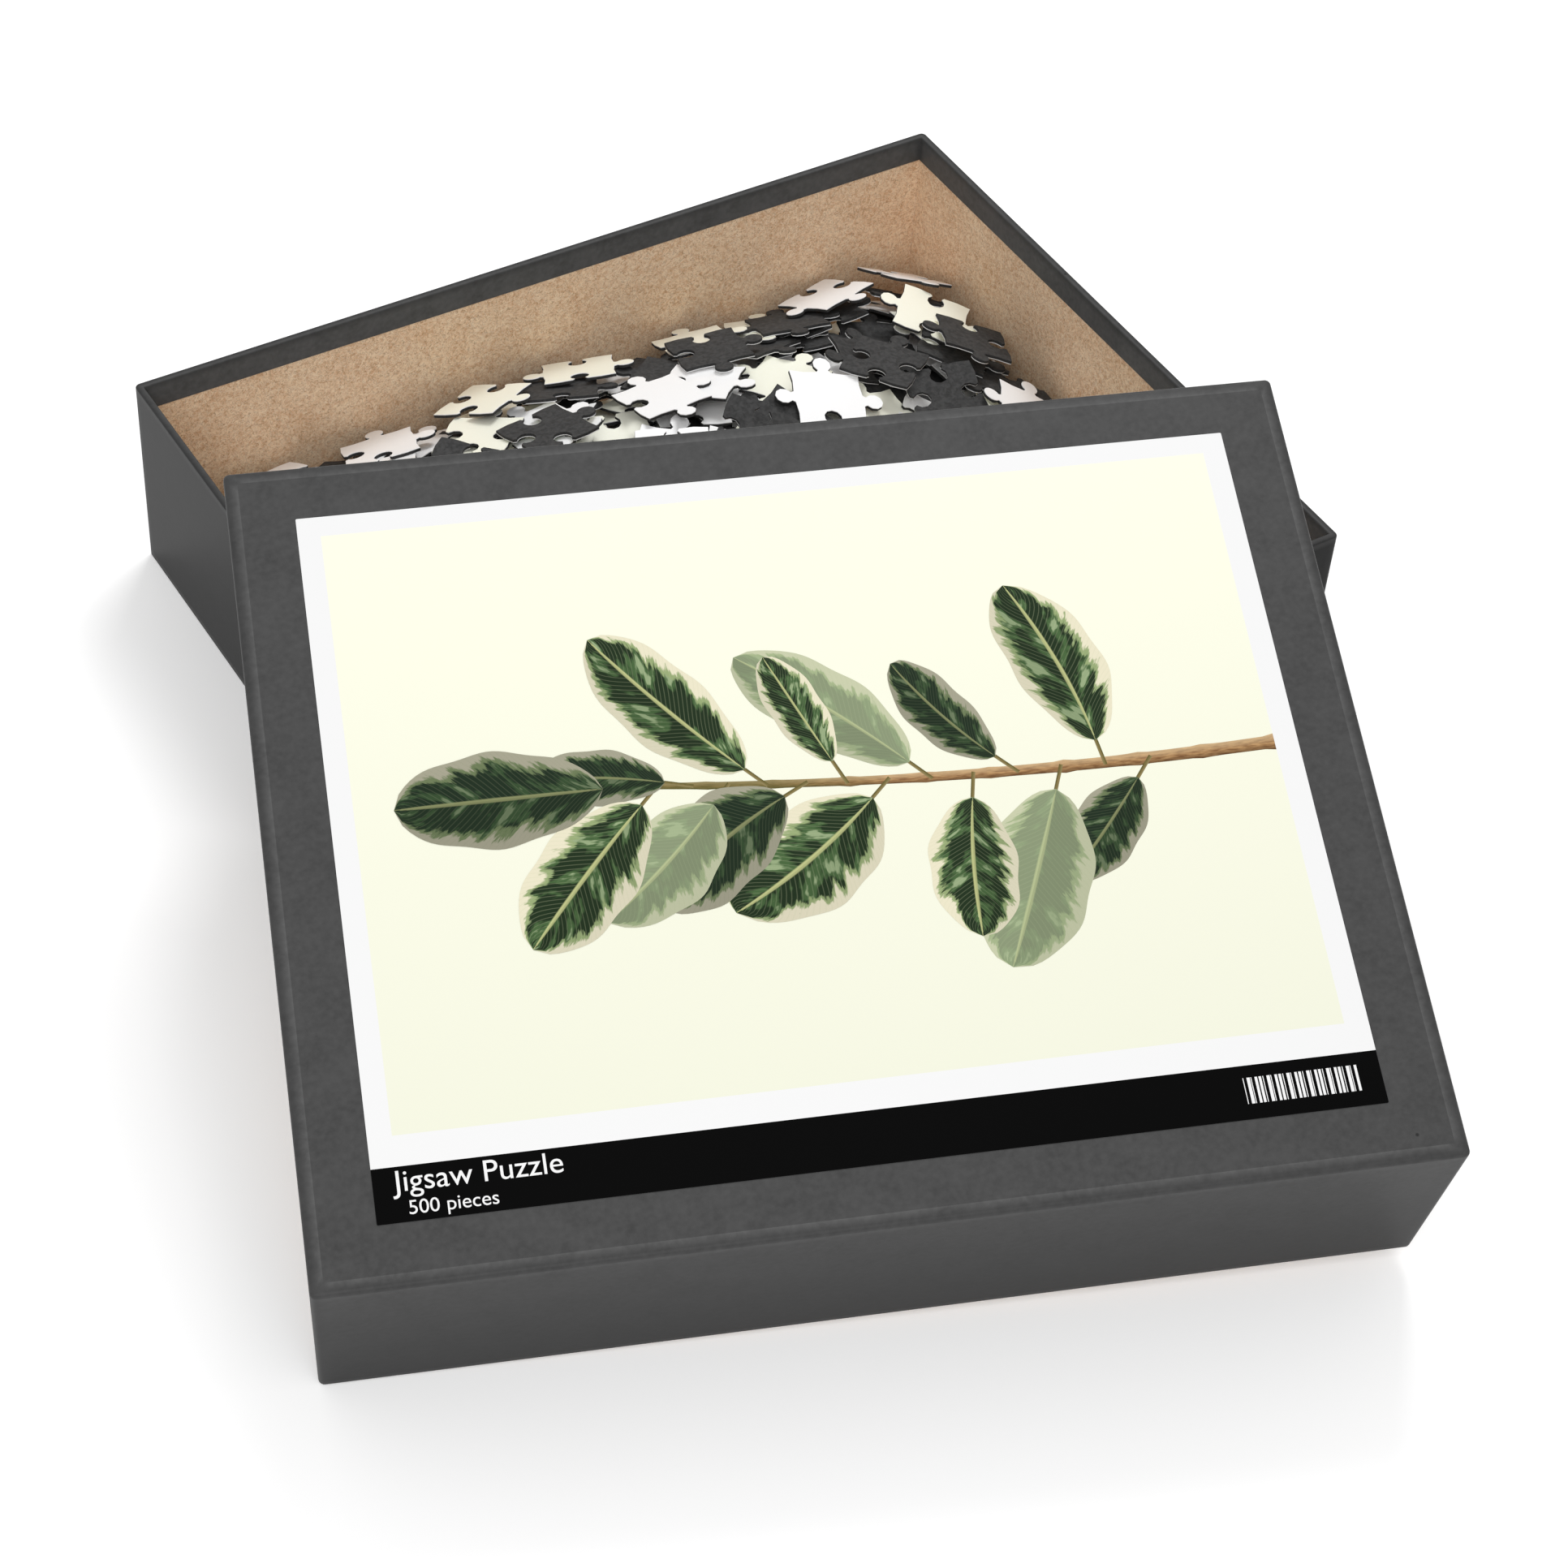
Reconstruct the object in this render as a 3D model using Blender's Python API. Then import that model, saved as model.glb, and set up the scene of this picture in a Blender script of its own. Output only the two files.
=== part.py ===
"""Boxed jigsaw puzzle: an open tray full of loose pieces, with its lid leaning on the tray.

The origin is the centre of the tray's underside, +X runs along the tray's long side and +Z is up.
Both halves of the box are chipboard panels held by paper corner stays and covered by a folded
paper wrap. The lid leans: one corner of its mouth is on the table and two of its walls lie on
the tray's rim. The loose pieces are stacked one by one on a height field of the tray's inside.
The uppermost ones are solids of their own, and one solid holds the space of all those beneath.
"""

import math

import bmesh
import bpy
import numpy as np
from mathutils import Matrix, Vector

MM = 0.001

# The two halves of the box, outside sizes.
LID_LENGTH = 256.0 * MM
LID_WIDTH = 206.0 * MM
LID_HEIGHT = 58.5 * MM
TRAY_LENGTH = 250.5 * MM
TRAY_WIDTH = 200.5 * MM
TRAY_HEIGHT = 60.0 * MM

# The wall, layer by layer from the outside: wrap, corner stay, board, turned-in wrap.
WRAP = 0.2 * MM
STAY = 0.15 * MM
BOARD = 1.2 * MM
GLUE_GAP = 0.1 * MM
CORNER_RADIUS = 1.5 * MM
TOP_EDGE_RADIUS = 1.2 * MM
RIM_RADIUS = 0.5 * MM
SMALLEST_RADIUS = 0.15 * MM
TOP_PANEL_INSET = TOP_EDGE_RADIUS + 0.3 * MM
FOOT_CHAMFER = 0.3 * MM
TURN_IN = 8.0 * MM
TURN_UNDER = 15.0 * MM
BASE_PAPER_MARGIN = 3.0 * MM
BOARD_EDGE_ROUND = 0.8 * MM
STAY_LEG = 18.0 * MM
SAME_PLACE = 0.01 * MM
ARC_POINTS = 4
ARC_STEP = 90 / (ARC_POINTS - 1)
RIM_POINTS = 3
RIM_STEP = 90 / (RIM_POINTS - 1)
BOARD_FACE = WRAP + GLUE_GAP + STAY + GLUE_GAP
BOARD_BACK = BOARD_FACE + BOARD
TURN_IN_FACE = BOARD_BACK + GLUE_GAP
WALL = TURN_IN_FACE + WRAP

# The label glued on the lid.
LABEL_LENGTH = 224.5 * MM
LABEL_WIDTH = 177.0 * MM
LABEL_THICKNESS = 0.15 * MM

# How the lid leans: where its front left corner stands, and how it is turned and tipped.
LID_CORNER = Vector((-207.9 * MM, -172.6 * MM, 0.3 * MM))
LID_YAW = math.radians(-20.9)
LID_TILT = math.radians(17.0)
LID_ROLL = math.radians(1.45)

# A 16 x 20 inch picture cut into 20 x 25 pieces. The knob's sizes are shares of the pitch.
PIECE_PITCH = 20.32 * MM
PIECE_THICKNESS = 1.0 * MM
PIECE_COUNT = 500
TOP_PIECES = 26
EDGE_PIECES = 0.17
FACE_UP = 0.66
HEAD_RADIUS = 0.13
HEAD_CENTRE = 0.15
NECK = 0.40
SHOULDER_BOW = 0.018
HEAD_START = math.radians(-125)
HEAD_END = math.radians(-415)
HEAD_POINTS = 7

# The height field on which the pieces are stacked. The floor is just above the base board, slopes are
# rises over runs, and TOP_CLEARANCE and HEAP_GRID count cells.
CELL = 1.0 * MM
CELLS_X = int((TRAY_LENGTH - 2 * WALL) / CELL)
CELLS_Y = int((TRAY_WIDTH - 2 * WALL) / CELL)
FLOOR = 2.0 * MM
MOUND_FOOT = 6.0 * MM
MOUND_RISE = 24.0 * MM
MOUND_AT = (0.0 * MM, 44.0 * MM)
MOUND_SPREAD = (135.0 * MM, 52.0 * MM)
PIECE_GAP = 0.15 * MM
STEEPEST = 0.48
SLOPE_STEPS = (7, 5, 5)
HULL_DIRECTIONS = 24
LEVEL_EDGE = 1e-12
TRIES = 36
TOP_TRIES = 288
KEPT_TRIES = 7
TOP_CLEARANCE = 1
LID_CLEARANCE = 3.0 * MM
HEAP_GRID = 10
HEAP_GAP = 0.4 * MM
HEAP_FOOT = 0.1 * MM
HEAP_THINNEST = 0.9 * MM
SEED = 20

FINISHES = {
    "wrap": ((0.085, 0.085, 0.085), 0.75),
    "kraft": ((0.52, 0.35, 0.22), 0.85),
    "tape": ((0.6, 0.47, 0.32), 0.8),
    "label": ((0.9, 0.9, 0.82), 0.45),
    "white print": ((0.9, 0.9, 0.9), 0.4),
    "cream print": ((0.9, 0.9, 0.78), 0.4),
    "chipboard back": ((0.06, 0.06, 0.06), 0.85),
}


def finish(name):
    """The named material, made when it is first asked for."""
    found = bpy.data.materials.get(name)
    if found:
        return found
    colour, roughness = FINISHES[name]
    made = bpy.data.materials.new(name)
    made.use_nodes = True
    shader = made.node_tree.nodes["Principled BSDF"]
    shader.inputs["Base Color"].default_value = (*colour, 1.0)
    shader.inputs["Roughness"].default_value = roughness
    shader.inputs["Metallic"].default_value = 0.0
    return made


def place(name, mesh, material_name, parent=None):
    """The mesh as an object, under the empty that carries its half of the box."""
    mesh.materials.append(finish(material_name))
    made = bpy.data.objects.new(name, mesh)
    bpy.context.scene.collection.objects.link(made)
    made.parent = parent
    return made


def box_shape(low, high):
    """An upright box between two corners, as a bmesh left open for edge work."""
    shape = bmesh.new()
    bmesh.ops.create_cube(shape, size=1.0)
    size = Vector(high) - Vector(low)
    centre = (Vector(high) + Vector(low)) / 2
    bmesh.ops.scale(shape, vec=size, verts=shape.verts)
    bmesh.ops.translate(shape, vec=centre, verts=shape.verts)
    return shape


def rounded_board(name, low, high, material_name, parent, edge_is_round=None):
    """A board, with the edges that edge_is_round picks rounded off."""
    shape = box_shape(low, high)
    if edge_is_round:
        picked = [edge for edge in shape.edges if edge_is_round(*(end.co for end in edge.verts))]
        bmesh.ops.bevel(
            shape, geom=picked, offset=BOARD_EDGE_ROUND, segments=2, profile=0.5, affect="EDGES"
        )
    mesh = bpy.data.meshes.new(name)
    shape.to_mesh(mesh)
    shape.free()
    return place(name, mesh, material_name, parent)


def rounded_rectangle(half_x, half_y, radius):
    """Points round a rectangle, anticlockwise, with the same number on each corner's arc."""
    corners = ((1, 1, 0), (-1, 1, 90), (-1, -1, 180), (1, -1, 270))
    points = []
    for side_x, side_y, start in corners:
        for step in range(ARC_POINTS):
            angle = math.radians(start + ARC_STEP * step)
            x = side_x * (half_x - radius) + radius * math.cos(angle)
            y = side_y * (half_y - radius) + radius * math.sin(angle)
            points.append((x, y))
    return points


def folded_ring(name, profile, half_x, half_y, material_name, parent, capped=False):
    """A sheet folded round a rectangle.

    Each profile point is (depth in from the outside, height). A capped sheet's profile ends on two
    flat panels, one at each face of the sheet. Any other profile closes on itself.
    """
    vertices = []
    rings = []
    for depth, height in profile:
        radius = max(CORNER_RADIUS - depth, SMALLEST_RADIUS)
        ring = rounded_rectangle(half_x - depth, half_y - depth, radius)
        rings.append(range(len(vertices), len(vertices) + len(ring)))
        vertices += [(x, y, height) for x, y in ring]
    faces = []
    pairs = list(zip(rings, rings[1:]))
    if not capped:
        pairs.append((rings[-1], rings[0]))
    for lower, upper in pairs:
        count = len(lower)
        for i in range(count):
            after = (i + 1) % count
            faces.append((lower[i], lower[after], upper[after], upper[i]))
    if capped:
        faces.append(tuple(reversed(rings[0])))
        faces.append(tuple(rings[-1]))
    mesh = bpy.data.meshes.new(name)
    mesh.from_pydata(vertices, [], faces)
    made = place(name, mesh, material_name, parent)
    face_outwards(made)
    return made


def face_outwards(made):
    """Turns every face of the object's closed mesh to point out."""
    shape = bmesh.new()
    shape.from_mesh(made.data)
    bmesh.ops.recalc_face_normals(shape, faces=shape.faces)
    shape.to_mesh(made.data)
    shape.free()


def wall_boards(prefix, length, width, low, high, parent):
    """Four wall boards: the long ones run the full length, the short ones stand between them."""
    half_x = length / 2
    half_y = width / 2
    for side, y_sign in (("front", -1), ("back", 1)):
        edges = sorted((y_sign * (half_y - BOARD_FACE), y_sign * (half_y - BOARD_BACK)))
        outer = y_sign * (half_y - BOARD_FACE)

        def at_outer_corner(a, b, outer=outer):
            upright = abs(a.z - b.z) > abs(a.x - b.x) + abs(a.y - b.y)
            return upright and abs(a.y - outer) < SAME_PLACE

        rounded_board(
            f"{prefix}_{side}_board",
            (-half_x + BOARD_FACE, edges[0], low),
            (half_x - BOARD_FACE, edges[1], high),
            "kraft",
            parent,
            at_outer_corner,
        )
    reach = half_y - BOARD_BACK - GLUE_GAP
    for side, x_sign in (("left", -1), ("right", 1)):
        edges = sorted((x_sign * (half_x - BOARD_FACE), x_sign * (half_x - BOARD_BACK)))
        rounded_board(
            f"{prefix}_{side}_board",
            (edges[0], -reach, low),
            (edges[1], reach, high),
            "kraft",
            parent,
        )


def corner_stays(prefix, length, width, low, high, parent):
    """Paper tape folded round each upright corner, between the boards and the wrap."""
    outer = WRAP + GLUE_GAP
    names = (("front_left", -1, -1), ("front_right", 1, -1), ("back_left", -1, 1), ("back_right", 1, 1))
    for side, x_sign, y_sign in names:
        strip = []
        for depth in (outer, outer + STAY):
            radius = CORNER_RADIUS - depth
            line = [(STAY_LEG, depth)]
            for step in range(ARC_POINTS):
                angle = math.radians(270 - ARC_STEP * step)
                x = CORNER_RADIUS + radius * math.cos(angle)
                y = CORNER_RADIUS + radius * math.sin(angle)
                line.append((x, y))
            line.append((depth, STAY_LEG))
            strip.append(line)
        outline = strip[0] + strip[1][::-1]
        ground = [(x_sign * (length / 2 - x), y_sign * (width / 2 - y)) for x, y in outline]
        name = f"{prefix}_stay_{side}"
        mesh = prism_mesh(name, ground, low, high)
        face_outwards(place(name, mesh, "tape", parent))


def prism_mesh(name, outline, low, high):
    """A flat outline given a thickness from low to high."""
    count = len(outline)
    vertices = [(x, y, low) for x, y in outline] + [(x, y, high) for x, y in outline]
    faces = [tuple(range(count - 1, -1, -1)), tuple(range(count, 2 * count))]
    for i in range(count):
        after = (i + 1) % count
        faces.append((i, after, count + after, count + i))
    mesh = bpy.data.meshes.new(name)
    mesh.from_pydata(vertices, [], faces)
    return mesh


def build_tray():
    """The open half: base paper, base board, four walls, corner stays and the wrap."""
    half_x = TRAY_LENGTH / 2
    half_y = TRAY_WIDTH / 2
    under = WRAP + GLUE_GAP
    board_low = under + WRAP + GLUE_GAP
    board_high = TRAY_HEIGHT - WRAP - 2 * GLUE_GAP
    paper = (half_x - BASE_PAPER_MARGIN, half_y - BASE_PAPER_MARGIN)
    rounded_board("tray_base_paper", (-paper[0], -paper[1], 0), (*paper, WRAP), "wrap", None)
    inner_x = half_x - BOARD_BACK - GLUE_GAP
    inner_y = half_y - BOARD_BACK - GLUE_GAP
    rounded_board(
        "tray_base_board",
        (-inner_x, -inner_y, board_low),
        (inner_x, inner_y, board_low + BOARD),
        "kraft",
        None,
    )
    wall_boards("tray", TRAY_LENGTH, TRAY_WIDTH, board_low, board_high, None)
    corner_stays("tray", TRAY_LENGTH, TRAY_WIDTH, board_low, board_high, None)
    outside = rim_fold(RIM_RADIUS)
    inside = rim_fold(RIM_RADIUS - WRAP)
    profile = [
        (TURN_UNDER, under),
        (FOOT_CHAMFER, under),
        (0, under + FOOT_CHAMFER),
        *((depth, TRAY_HEIGHT - drop) for depth, drop in outside),
        (WALL, TRAY_HEIGHT - TURN_IN),
        (TURN_IN_FACE, TRAY_HEIGHT - TURN_IN),
        *((depth, TRAY_HEIGHT - drop) for depth, drop in reversed(inside)),
        (WRAP, under + FOOT_CHAMFER),
        (FOOT_CHAMFER, under + WRAP),
        (TURN_UNDER, under + WRAP),
    ]
    folded_ring("tray_wrap", profile, half_x, half_y, "wrap", None)


def rim_fold(radius):
    """The fold over a rim, as points of (depth in, distance from the rim), from outside to inside."""
    points = []
    for centre, start in ((RIM_RADIUS, 180), (WALL - RIM_RADIUS, 90)):
        for step in range(RIM_POINTS):
            angle = math.radians(start - RIM_STEP * step)
            points.append((centre + radius * math.cos(angle), RIM_RADIUS - radius * math.sin(angle)))
    return points


def lean_of_lid():
    """The placing of the lid's own frame, whose origin is the centre of its mouth."""
    turn = Matrix.Rotation(LID_YAW, 4, "Z")
    tilt = Matrix.Rotation(LID_TILT, 4, "X")
    roll = Matrix.Rotation(-LID_ROLL, 4, "Y")
    corner = Vector((-LID_LENGTH / 2, -LID_WIDTH / 2, 0))
    return Matrix.Translation(LID_CORNER) @ turn @ tilt @ roll @ Matrix.Translation(-corner)


def build_lid():
    """The covering half, upright in its own frame, under an empty that leans it."""
    carrier = bpy.data.objects.new("lid_frame", None)
    bpy.context.scene.collection.objects.link(carrier)
    carrier.matrix_world = lean_of_lid()
    half_x = LID_LENGTH / 2
    half_y = LID_WIDTH / 2
    board_top = LID_HEIGHT - WRAP - GLUE_GAP
    wall_low = WRAP + 2 * GLUE_GAP
    wall_high = board_top - BOARD - GLUE_GAP

    def upper_or_upright(a, b):
        return min(a.z, b.z) > board_top - SAME_PLACE or abs(a.z - b.z) > BOARD / 2

    rounded_board(
        "lid_top_board",
        (-half_x + BOARD_FACE, -half_y + BOARD_FACE, board_top - BOARD),
        (half_x - BOARD_FACE, half_y - BOARD_FACE, board_top),
        "kraft",
        carrier,
        upper_or_upright,
    )
    wall_boards("lid", LID_LENGTH, LID_WIDTH, wall_low, wall_high, carrier)
    corner_stays("lid", LID_LENGTH, LID_WIDTH, wall_low, wall_high, carrier)
    profile = [
        (TOP_PANEL_INSET, LID_HEIGHT - WRAP),
        *edge_arc(TOP_EDGE_RADIUS - WRAP, LID_HEIGHT),
        *rim_fold(RIM_RADIUS - WRAP),
        (TURN_IN_FACE, TURN_IN),
        (WALL, TURN_IN),
        *reversed(rim_fold(RIM_RADIUS)),
        *reversed(edge_arc(TOP_EDGE_RADIUS, LID_HEIGHT)),
        (TOP_PANEL_INSET, LID_HEIGHT),
    ]
    folded_ring("lid_wrap", profile, half_x, half_y, "wrap", carrier, capped=True)
    label_low = LID_HEIGHT + GLUE_GAP
    rounded_board(
        "lid_label",
        (-LABEL_LENGTH / 2, -LABEL_WIDTH / 2, label_low),
        (LABEL_LENGTH / 2, LABEL_WIDTH / 2, label_low + LABEL_THICKNESS),
        "label",
        carrier,
    )


def edge_arc(radius, top):
    """Profile points round the lid's top edge, from the flat top to the wall."""
    points = []
    for step in range(ARC_POINTS):
        angle = math.radians(90 - ARC_STEP * step)
        depth = TOP_EDGE_RADIUS - radius * math.cos(angle)
        height = top - TOP_EDGE_RADIUS + radius * math.sin(angle)
        points.append((depth, height))
    return points


def side_line(sign):
    """One side of a unit piece from (0, 0) to (1, 0): a round knob or socket on a narrow neck, or straight."""
    head = np.linspace(HEAD_START, HEAD_END, HEAD_POINTS)
    head = np.stack([0.5 + HEAD_RADIUS * np.cos(head), HEAD_CENTRE + HEAD_RADIUS * np.sin(head)], axis=1)
    before = np.array([[0.0, 0.0], [NECK / 2, -SHOULDER_BOW], [NECK, 0.0]])
    after = np.array([[1 - NECK, 0.0], [1 - NECK / 2, -SHOULDER_BOW]])
    line = np.concatenate([before, head, after])
    if sign == 0:
        along = np.arange(len(line)) / len(line)
        return np.stack([along, np.zeros(len(line))], axis=1)
    return line * [1, -sign]


def rotated(points, angle):
    """Points in a plane turned about its origin."""
    turn = np.array([[math.cos(angle), -math.sin(angle)], [math.sin(angle), math.cos(angle)]])
    return points @ turn.T


def piece_outline(signs, yaw):
    """The closed outline of a turned piece about its centre; each sign is knob, socket or straight."""
    sides = [rotated(side_line(sign) - 0.5, quarter * math.pi / 2) for quarter, sign in enumerate(signs)]
    return rotated(np.concatenate(sides) * PIECE_PITCH, yaw)


def hull_covers(outline, x, y):
    """Which points lie inside the outline's convex hull, taken as the meet of half planes."""
    angles = np.linspace(0, 2 * math.pi, HULL_DIRECTIONS, endpoint=False)
    normals = np.stack([np.cos(angles), np.sin(angles)], axis=1)
    limits = (outline @ normals.T).max(axis=0)
    return np.all(x[..., None] * normals[:, 0] + y[..., None] * normals[:, 1] < limits, axis=-1)


def outline_covers(outline, x, y):
    """Which points lie inside the outline, by counting the edges that a ray towards +X crosses."""
    start = outline
    end = np.roll(outline, -1, axis=0)
    crosses = (start[:, 1] > y[..., None]) != (end[:, 1] > y[..., None])
    rise = end[:, 1] - start[:, 1]
    rise = np.where(np.abs(rise) < LEVEL_EDGE, LEVEL_EDGE, rise)
    where = start[:, 0] + (y[..., None] - start[:, 1]) / rise * (end[:, 0] - start[:, 0])
    return (np.sum(crosses & (x[..., None] < where), axis=-1) % 2) == 1


def footprint(outline, whole_hull):
    """The cells, as offsets from the piece's own cell, that the outline covers with a cell to spare."""
    reach = int(np.abs(outline).max() / CELL) + 3
    steps = np.arange(-reach, reach + 1)
    grid_x, grid_y = np.meshgrid(steps, steps, indexing="ij")
    covers = hull_covers if whole_hull else outline_covers
    inside = covers(outline, grid_x * CELL, grid_y * CELL)
    grown = inside.copy()
    grown[1:] |= inside[:-1]
    grown[:-1] |= inside[1:]
    grown[:, 1:] |= inside[:, :-1]
    grown[:, :-1] |= inside[:, 1:]
    return np.stack([grid_x[grown], grid_y[grown]], axis=1)


def resting_plane(heights, cells, offsets):
    """The lowest plane that clears every cell: its height over the piece's own cell, and two slopes."""
    column = heights[cells[:, 0], cells[:, 1]]
    span = STEEPEST
    best = (0.0, 0.0)
    for steps in SLOPE_STEPS:
        slopes = np.linspace(-span, span, steps)
        slope_x, slope_y = np.meshgrid(slopes + best[0], slopes + best[1], indexing="ij")
        slope_x = np.clip(slope_x.ravel(), -STEEPEST, STEEPEST)
        slope_y = np.clip(slope_y.ravel(), -STEEPEST, STEEPEST)
        lifts = column - (slope_x[:, None] * offsets[:, 0] + slope_y[:, None] * offsets[:, 1]) * CELL
        needed = lifts.max(axis=1)
        pick = int(np.argmin(needed))
        best = (float(slope_x[pick]), float(slope_y[pick]))
        level = float(needed[pick])
        span /= 3
    return level, best


def cell_centre(cell_x, cell_y):
    """Where a cell's middle is."""
    return (cell_x - CELLS_X / 2 + 0.5) * CELL, (cell_y - CELLS_Y / 2 + 0.5) * CELL


def lid_covers():
    """Which cells of the tray the leaning lid stands over, with some room round them."""
    lean = lean_of_lid()
    half_x = LID_LENGTH / 2
    half_y = LID_WIDTH / 2
    back_left = lean @ Vector((-half_x, half_y, 0))
    back_right = lean @ Vector((half_x, half_y, 0))
    front_right = lean @ Vector((half_x, -half_y, 0))
    x, y = cell_centre(np.arange(CELLS_X)[:, None], np.arange(CELLS_Y)[None, :])
    covered = np.ones((CELLS_X, CELLS_Y), bool)
    for a, b in ((back_left, back_right), (back_right, front_right)):
        along = Vector((b.x - a.x, b.y - a.y)).normalized()
        beyond = (x - a.x) * -along.y + (y - a.y) * along.x
        covered &= beyond < LID_CLEARANCE
    return covered


def mound(x, y):
    """The height that the heap of pieces aims at, highest about one point."""
    away = ((x - MOUND_AT[0]) / MOUND_SPREAD[0]) ** 2 + ((y - MOUND_AT[1]) / MOUND_SPREAD[1]) ** 2
    return MOUND_FOOT + MOUND_RISE * np.exp(-away)


def draw_piece(draw):
    """A random piece: its four sides, its turn, and whether its print is up."""
    signs = draw.choice((-1, 1), 4)
    if draw.random() < EDGE_PIECES:
        signs[draw.integers(4)] = 0
    return signs, draw.uniform(0, 2 * math.pi), draw.random() < FACE_UP


def draw_places(draw, offsets, tries, taken):
    """Random cells where the whole footprint is inside the tray and on no taken cell."""
    low = -offsets.min(axis=0)
    high = np.array([CELLS_X, CELLS_Y]) - 1 - offsets.max(axis=0)
    found = draw.integers(low, high + 1, (tries, 2))
    cells = found[:, None, :] + offsets
    return found[~taken[cells[..., 0], cells[..., 1]].any(axis=1)]


def lowest_rest(heights, offsets, tries):
    """The tried place where the piece lies lowest against the mound: level, slopes, centre and cells."""
    x, y = cell_centre(tries[:, 0], tries[:, 1])
    order = np.argsort(heights[tries[:, 0], tries[:, 1]] - mound(x, y), kind="stable")
    found = []
    for pick in order[:KEPT_TRIES]:
        cells = tries[pick] + offsets
        level, slopes = resting_plane(heights, cells, offsets)
        excess = level - float(mound(x[pick], y[pick]))
        found.append((excess, level, slopes, (float(x[pick]), float(y[pick])), cells))
    return min(found, key=lambda rest: rest[0])[1:]


def spread(cells, room):
    """The cells, and those up to some cells away from them, within the tray."""
    shifts = np.arange(-room, room + 1)
    shift_x, shift_y = np.meshgrid(shifts, shifts, indexing="ij")
    wide = cells[:, None, :] + np.stack([shift_x.ravel(), shift_y.ravel()], axis=1)
    return np.clip(wide.reshape(-1, 2), 0, (CELLS_X - 1, CELLS_Y - 1))


def stack_pieces():
    """Drops the pieces into the tray one by one, each on what lies there.

    Returns a list of (signs, yaw, place, slopes, face_up), and the height field just before the
    uppermost pieces, which lie clear of each other and of the lid.
    """
    draw = np.random.default_rng(SEED)
    heights = np.full((CELLS_X, CELLS_Y), FLOOR)
    taken = np.zeros((CELLS_X, CELLS_Y), bool)
    under_top = None
    laid = []
    while len(laid) < PIECE_COUNT:
        on_top = len(laid) >= PIECE_COUNT - TOP_PIECES
        if on_top and under_top is None:
            under_top = heights.copy()
            taken = lid_covers()
        signs, yaw, face_up = draw_piece(draw)
        offsets = footprint(piece_outline(signs, yaw), on_top)
        tries = draw_places(draw, offsets, TOP_TRIES if on_top else TRIES, taken)
        if not len(tries):
            continue
        level, slopes, centre, cells = lowest_rest(heights, offsets, tries)
        bottom = level + (offsets[:, 0] * slopes[0] + offsets[:, 1] * slopes[1]) * CELL
        top = bottom + PIECE_THICKNESS * math.hypot(1, *slopes) + PIECE_GAP
        heights[cells[:, 0], cells[:, 1]] = np.maximum(heights[cells[:, 0], cells[:, 1]], top)
        if on_top:
            near = spread(cells, TOP_CLEARANCE)
            taken[near[:, 0], near[:, 1]] = True
        laid.append((tuple(int(sign) for sign in signs), yaw, (*centre, level), slopes, face_up))
    return laid, under_top


def lying(slopes, place_at):
    """The placing of a flat piece on a plane of these slopes through this point."""
    normal = Vector((-slopes[0], -slopes[1], 1)).normalized()
    turn = Vector((0, 0, 1)).rotation_difference(normal).to_matrix().to_4x4()
    return Matrix.Translation(Vector(place_at)) @ turn


def build_top_pieces(laid):
    """The uppermost pieces, each a flat cut outline lying where it came to rest."""
    for number, (signs, yaw, place_at, slopes, face_up) in enumerate(laid[-TOP_PIECES:], start=1):
        name = f"jigsaw_piece_{number:02d}"
        outline = piece_outline(signs, yaw)
        mesh = prism_mesh(name, [tuple(p) for p in outline], 0.0, PIECE_THICKNESS)
        print_name = "white print" if number % 3 else "cream print"
        made = place(name, mesh, print_name if face_up else "chipboard back")
        made.matrix_world = lying(slopes, place_at)


def build_heap(under_top):
    """One solid in the space of the pieces beneath, always lower than what lies on it."""
    columns = CELLS_X // HEAP_GRID
    rows = CELLS_Y // HEAP_GRID
    edge_x = np.linspace(0, CELLS_X - 1, columns + 1)
    edge_y = np.linspace(0, CELLS_Y - 1, rows + 1)
    reach = HEAP_GRID + 1
    vertices = []
    for x in edge_x:
        for y in edge_y:
            left, right = int(max(x - reach, 0)), int(min(x + reach + 1, CELLS_X))
            near, far = int(max(y - reach, 0)), int(min(y + reach + 1, CELLS_Y))
            level = under_top[left:right, near:far].min() - HEAP_GAP
            vertices.append((*cell_centre(x, y), max(level, FLOOR + HEAP_THINNEST)))
    mesh = bpy.data.meshes.new("loose_pieces_below")
    count = len(vertices)
    vertices += [(x, y, FLOOR + HEAP_FOOT) for x, y, _ in vertices]
    across = rows + 1
    faces = []
    for i in range(columns):
        for j in range(rows):
            a = i * across + j
            faces.append((a, a + across, a + across + 1, a + 1))
            faces.append((count + a + 1, count + a + across + 1, count + a + across, count + a))
    rim = [i * across for i in range(columns + 1)]
    rim += [columns * across + j for j in range(1, rows + 1)]
    rim += [i * across + rows for i in range(columns - 1, -1, -1)]
    rim += [j for j in range(rows - 1, 0, -1)]
    for a, b in zip(rim, rim[1:] + rim[:1]):
        faces.append((a, count + a, count + b, b))
    mesh.from_pydata(vertices, [], faces)
    face_outwards(place("loose_pieces_below", mesh, "chipboard back"))


def main():
    for old in list(bpy.data.objects):
        bpy.data.objects.remove(old, do_unlink=True)
    build_tray()
    build_lid()
    laid, under_top = stack_pieces()
    build_heap(under_top)
    build_top_pieces(laid)
    bpy.context.view_layer.update()


main()
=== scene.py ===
"""A boxed jigsaw puzzle with its lid leaning on the open tray: the looks, built round the CAD frame."""

import math

import bmesh
import bpy
import numpy as np
from mathutils import Matrix, Vector


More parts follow.
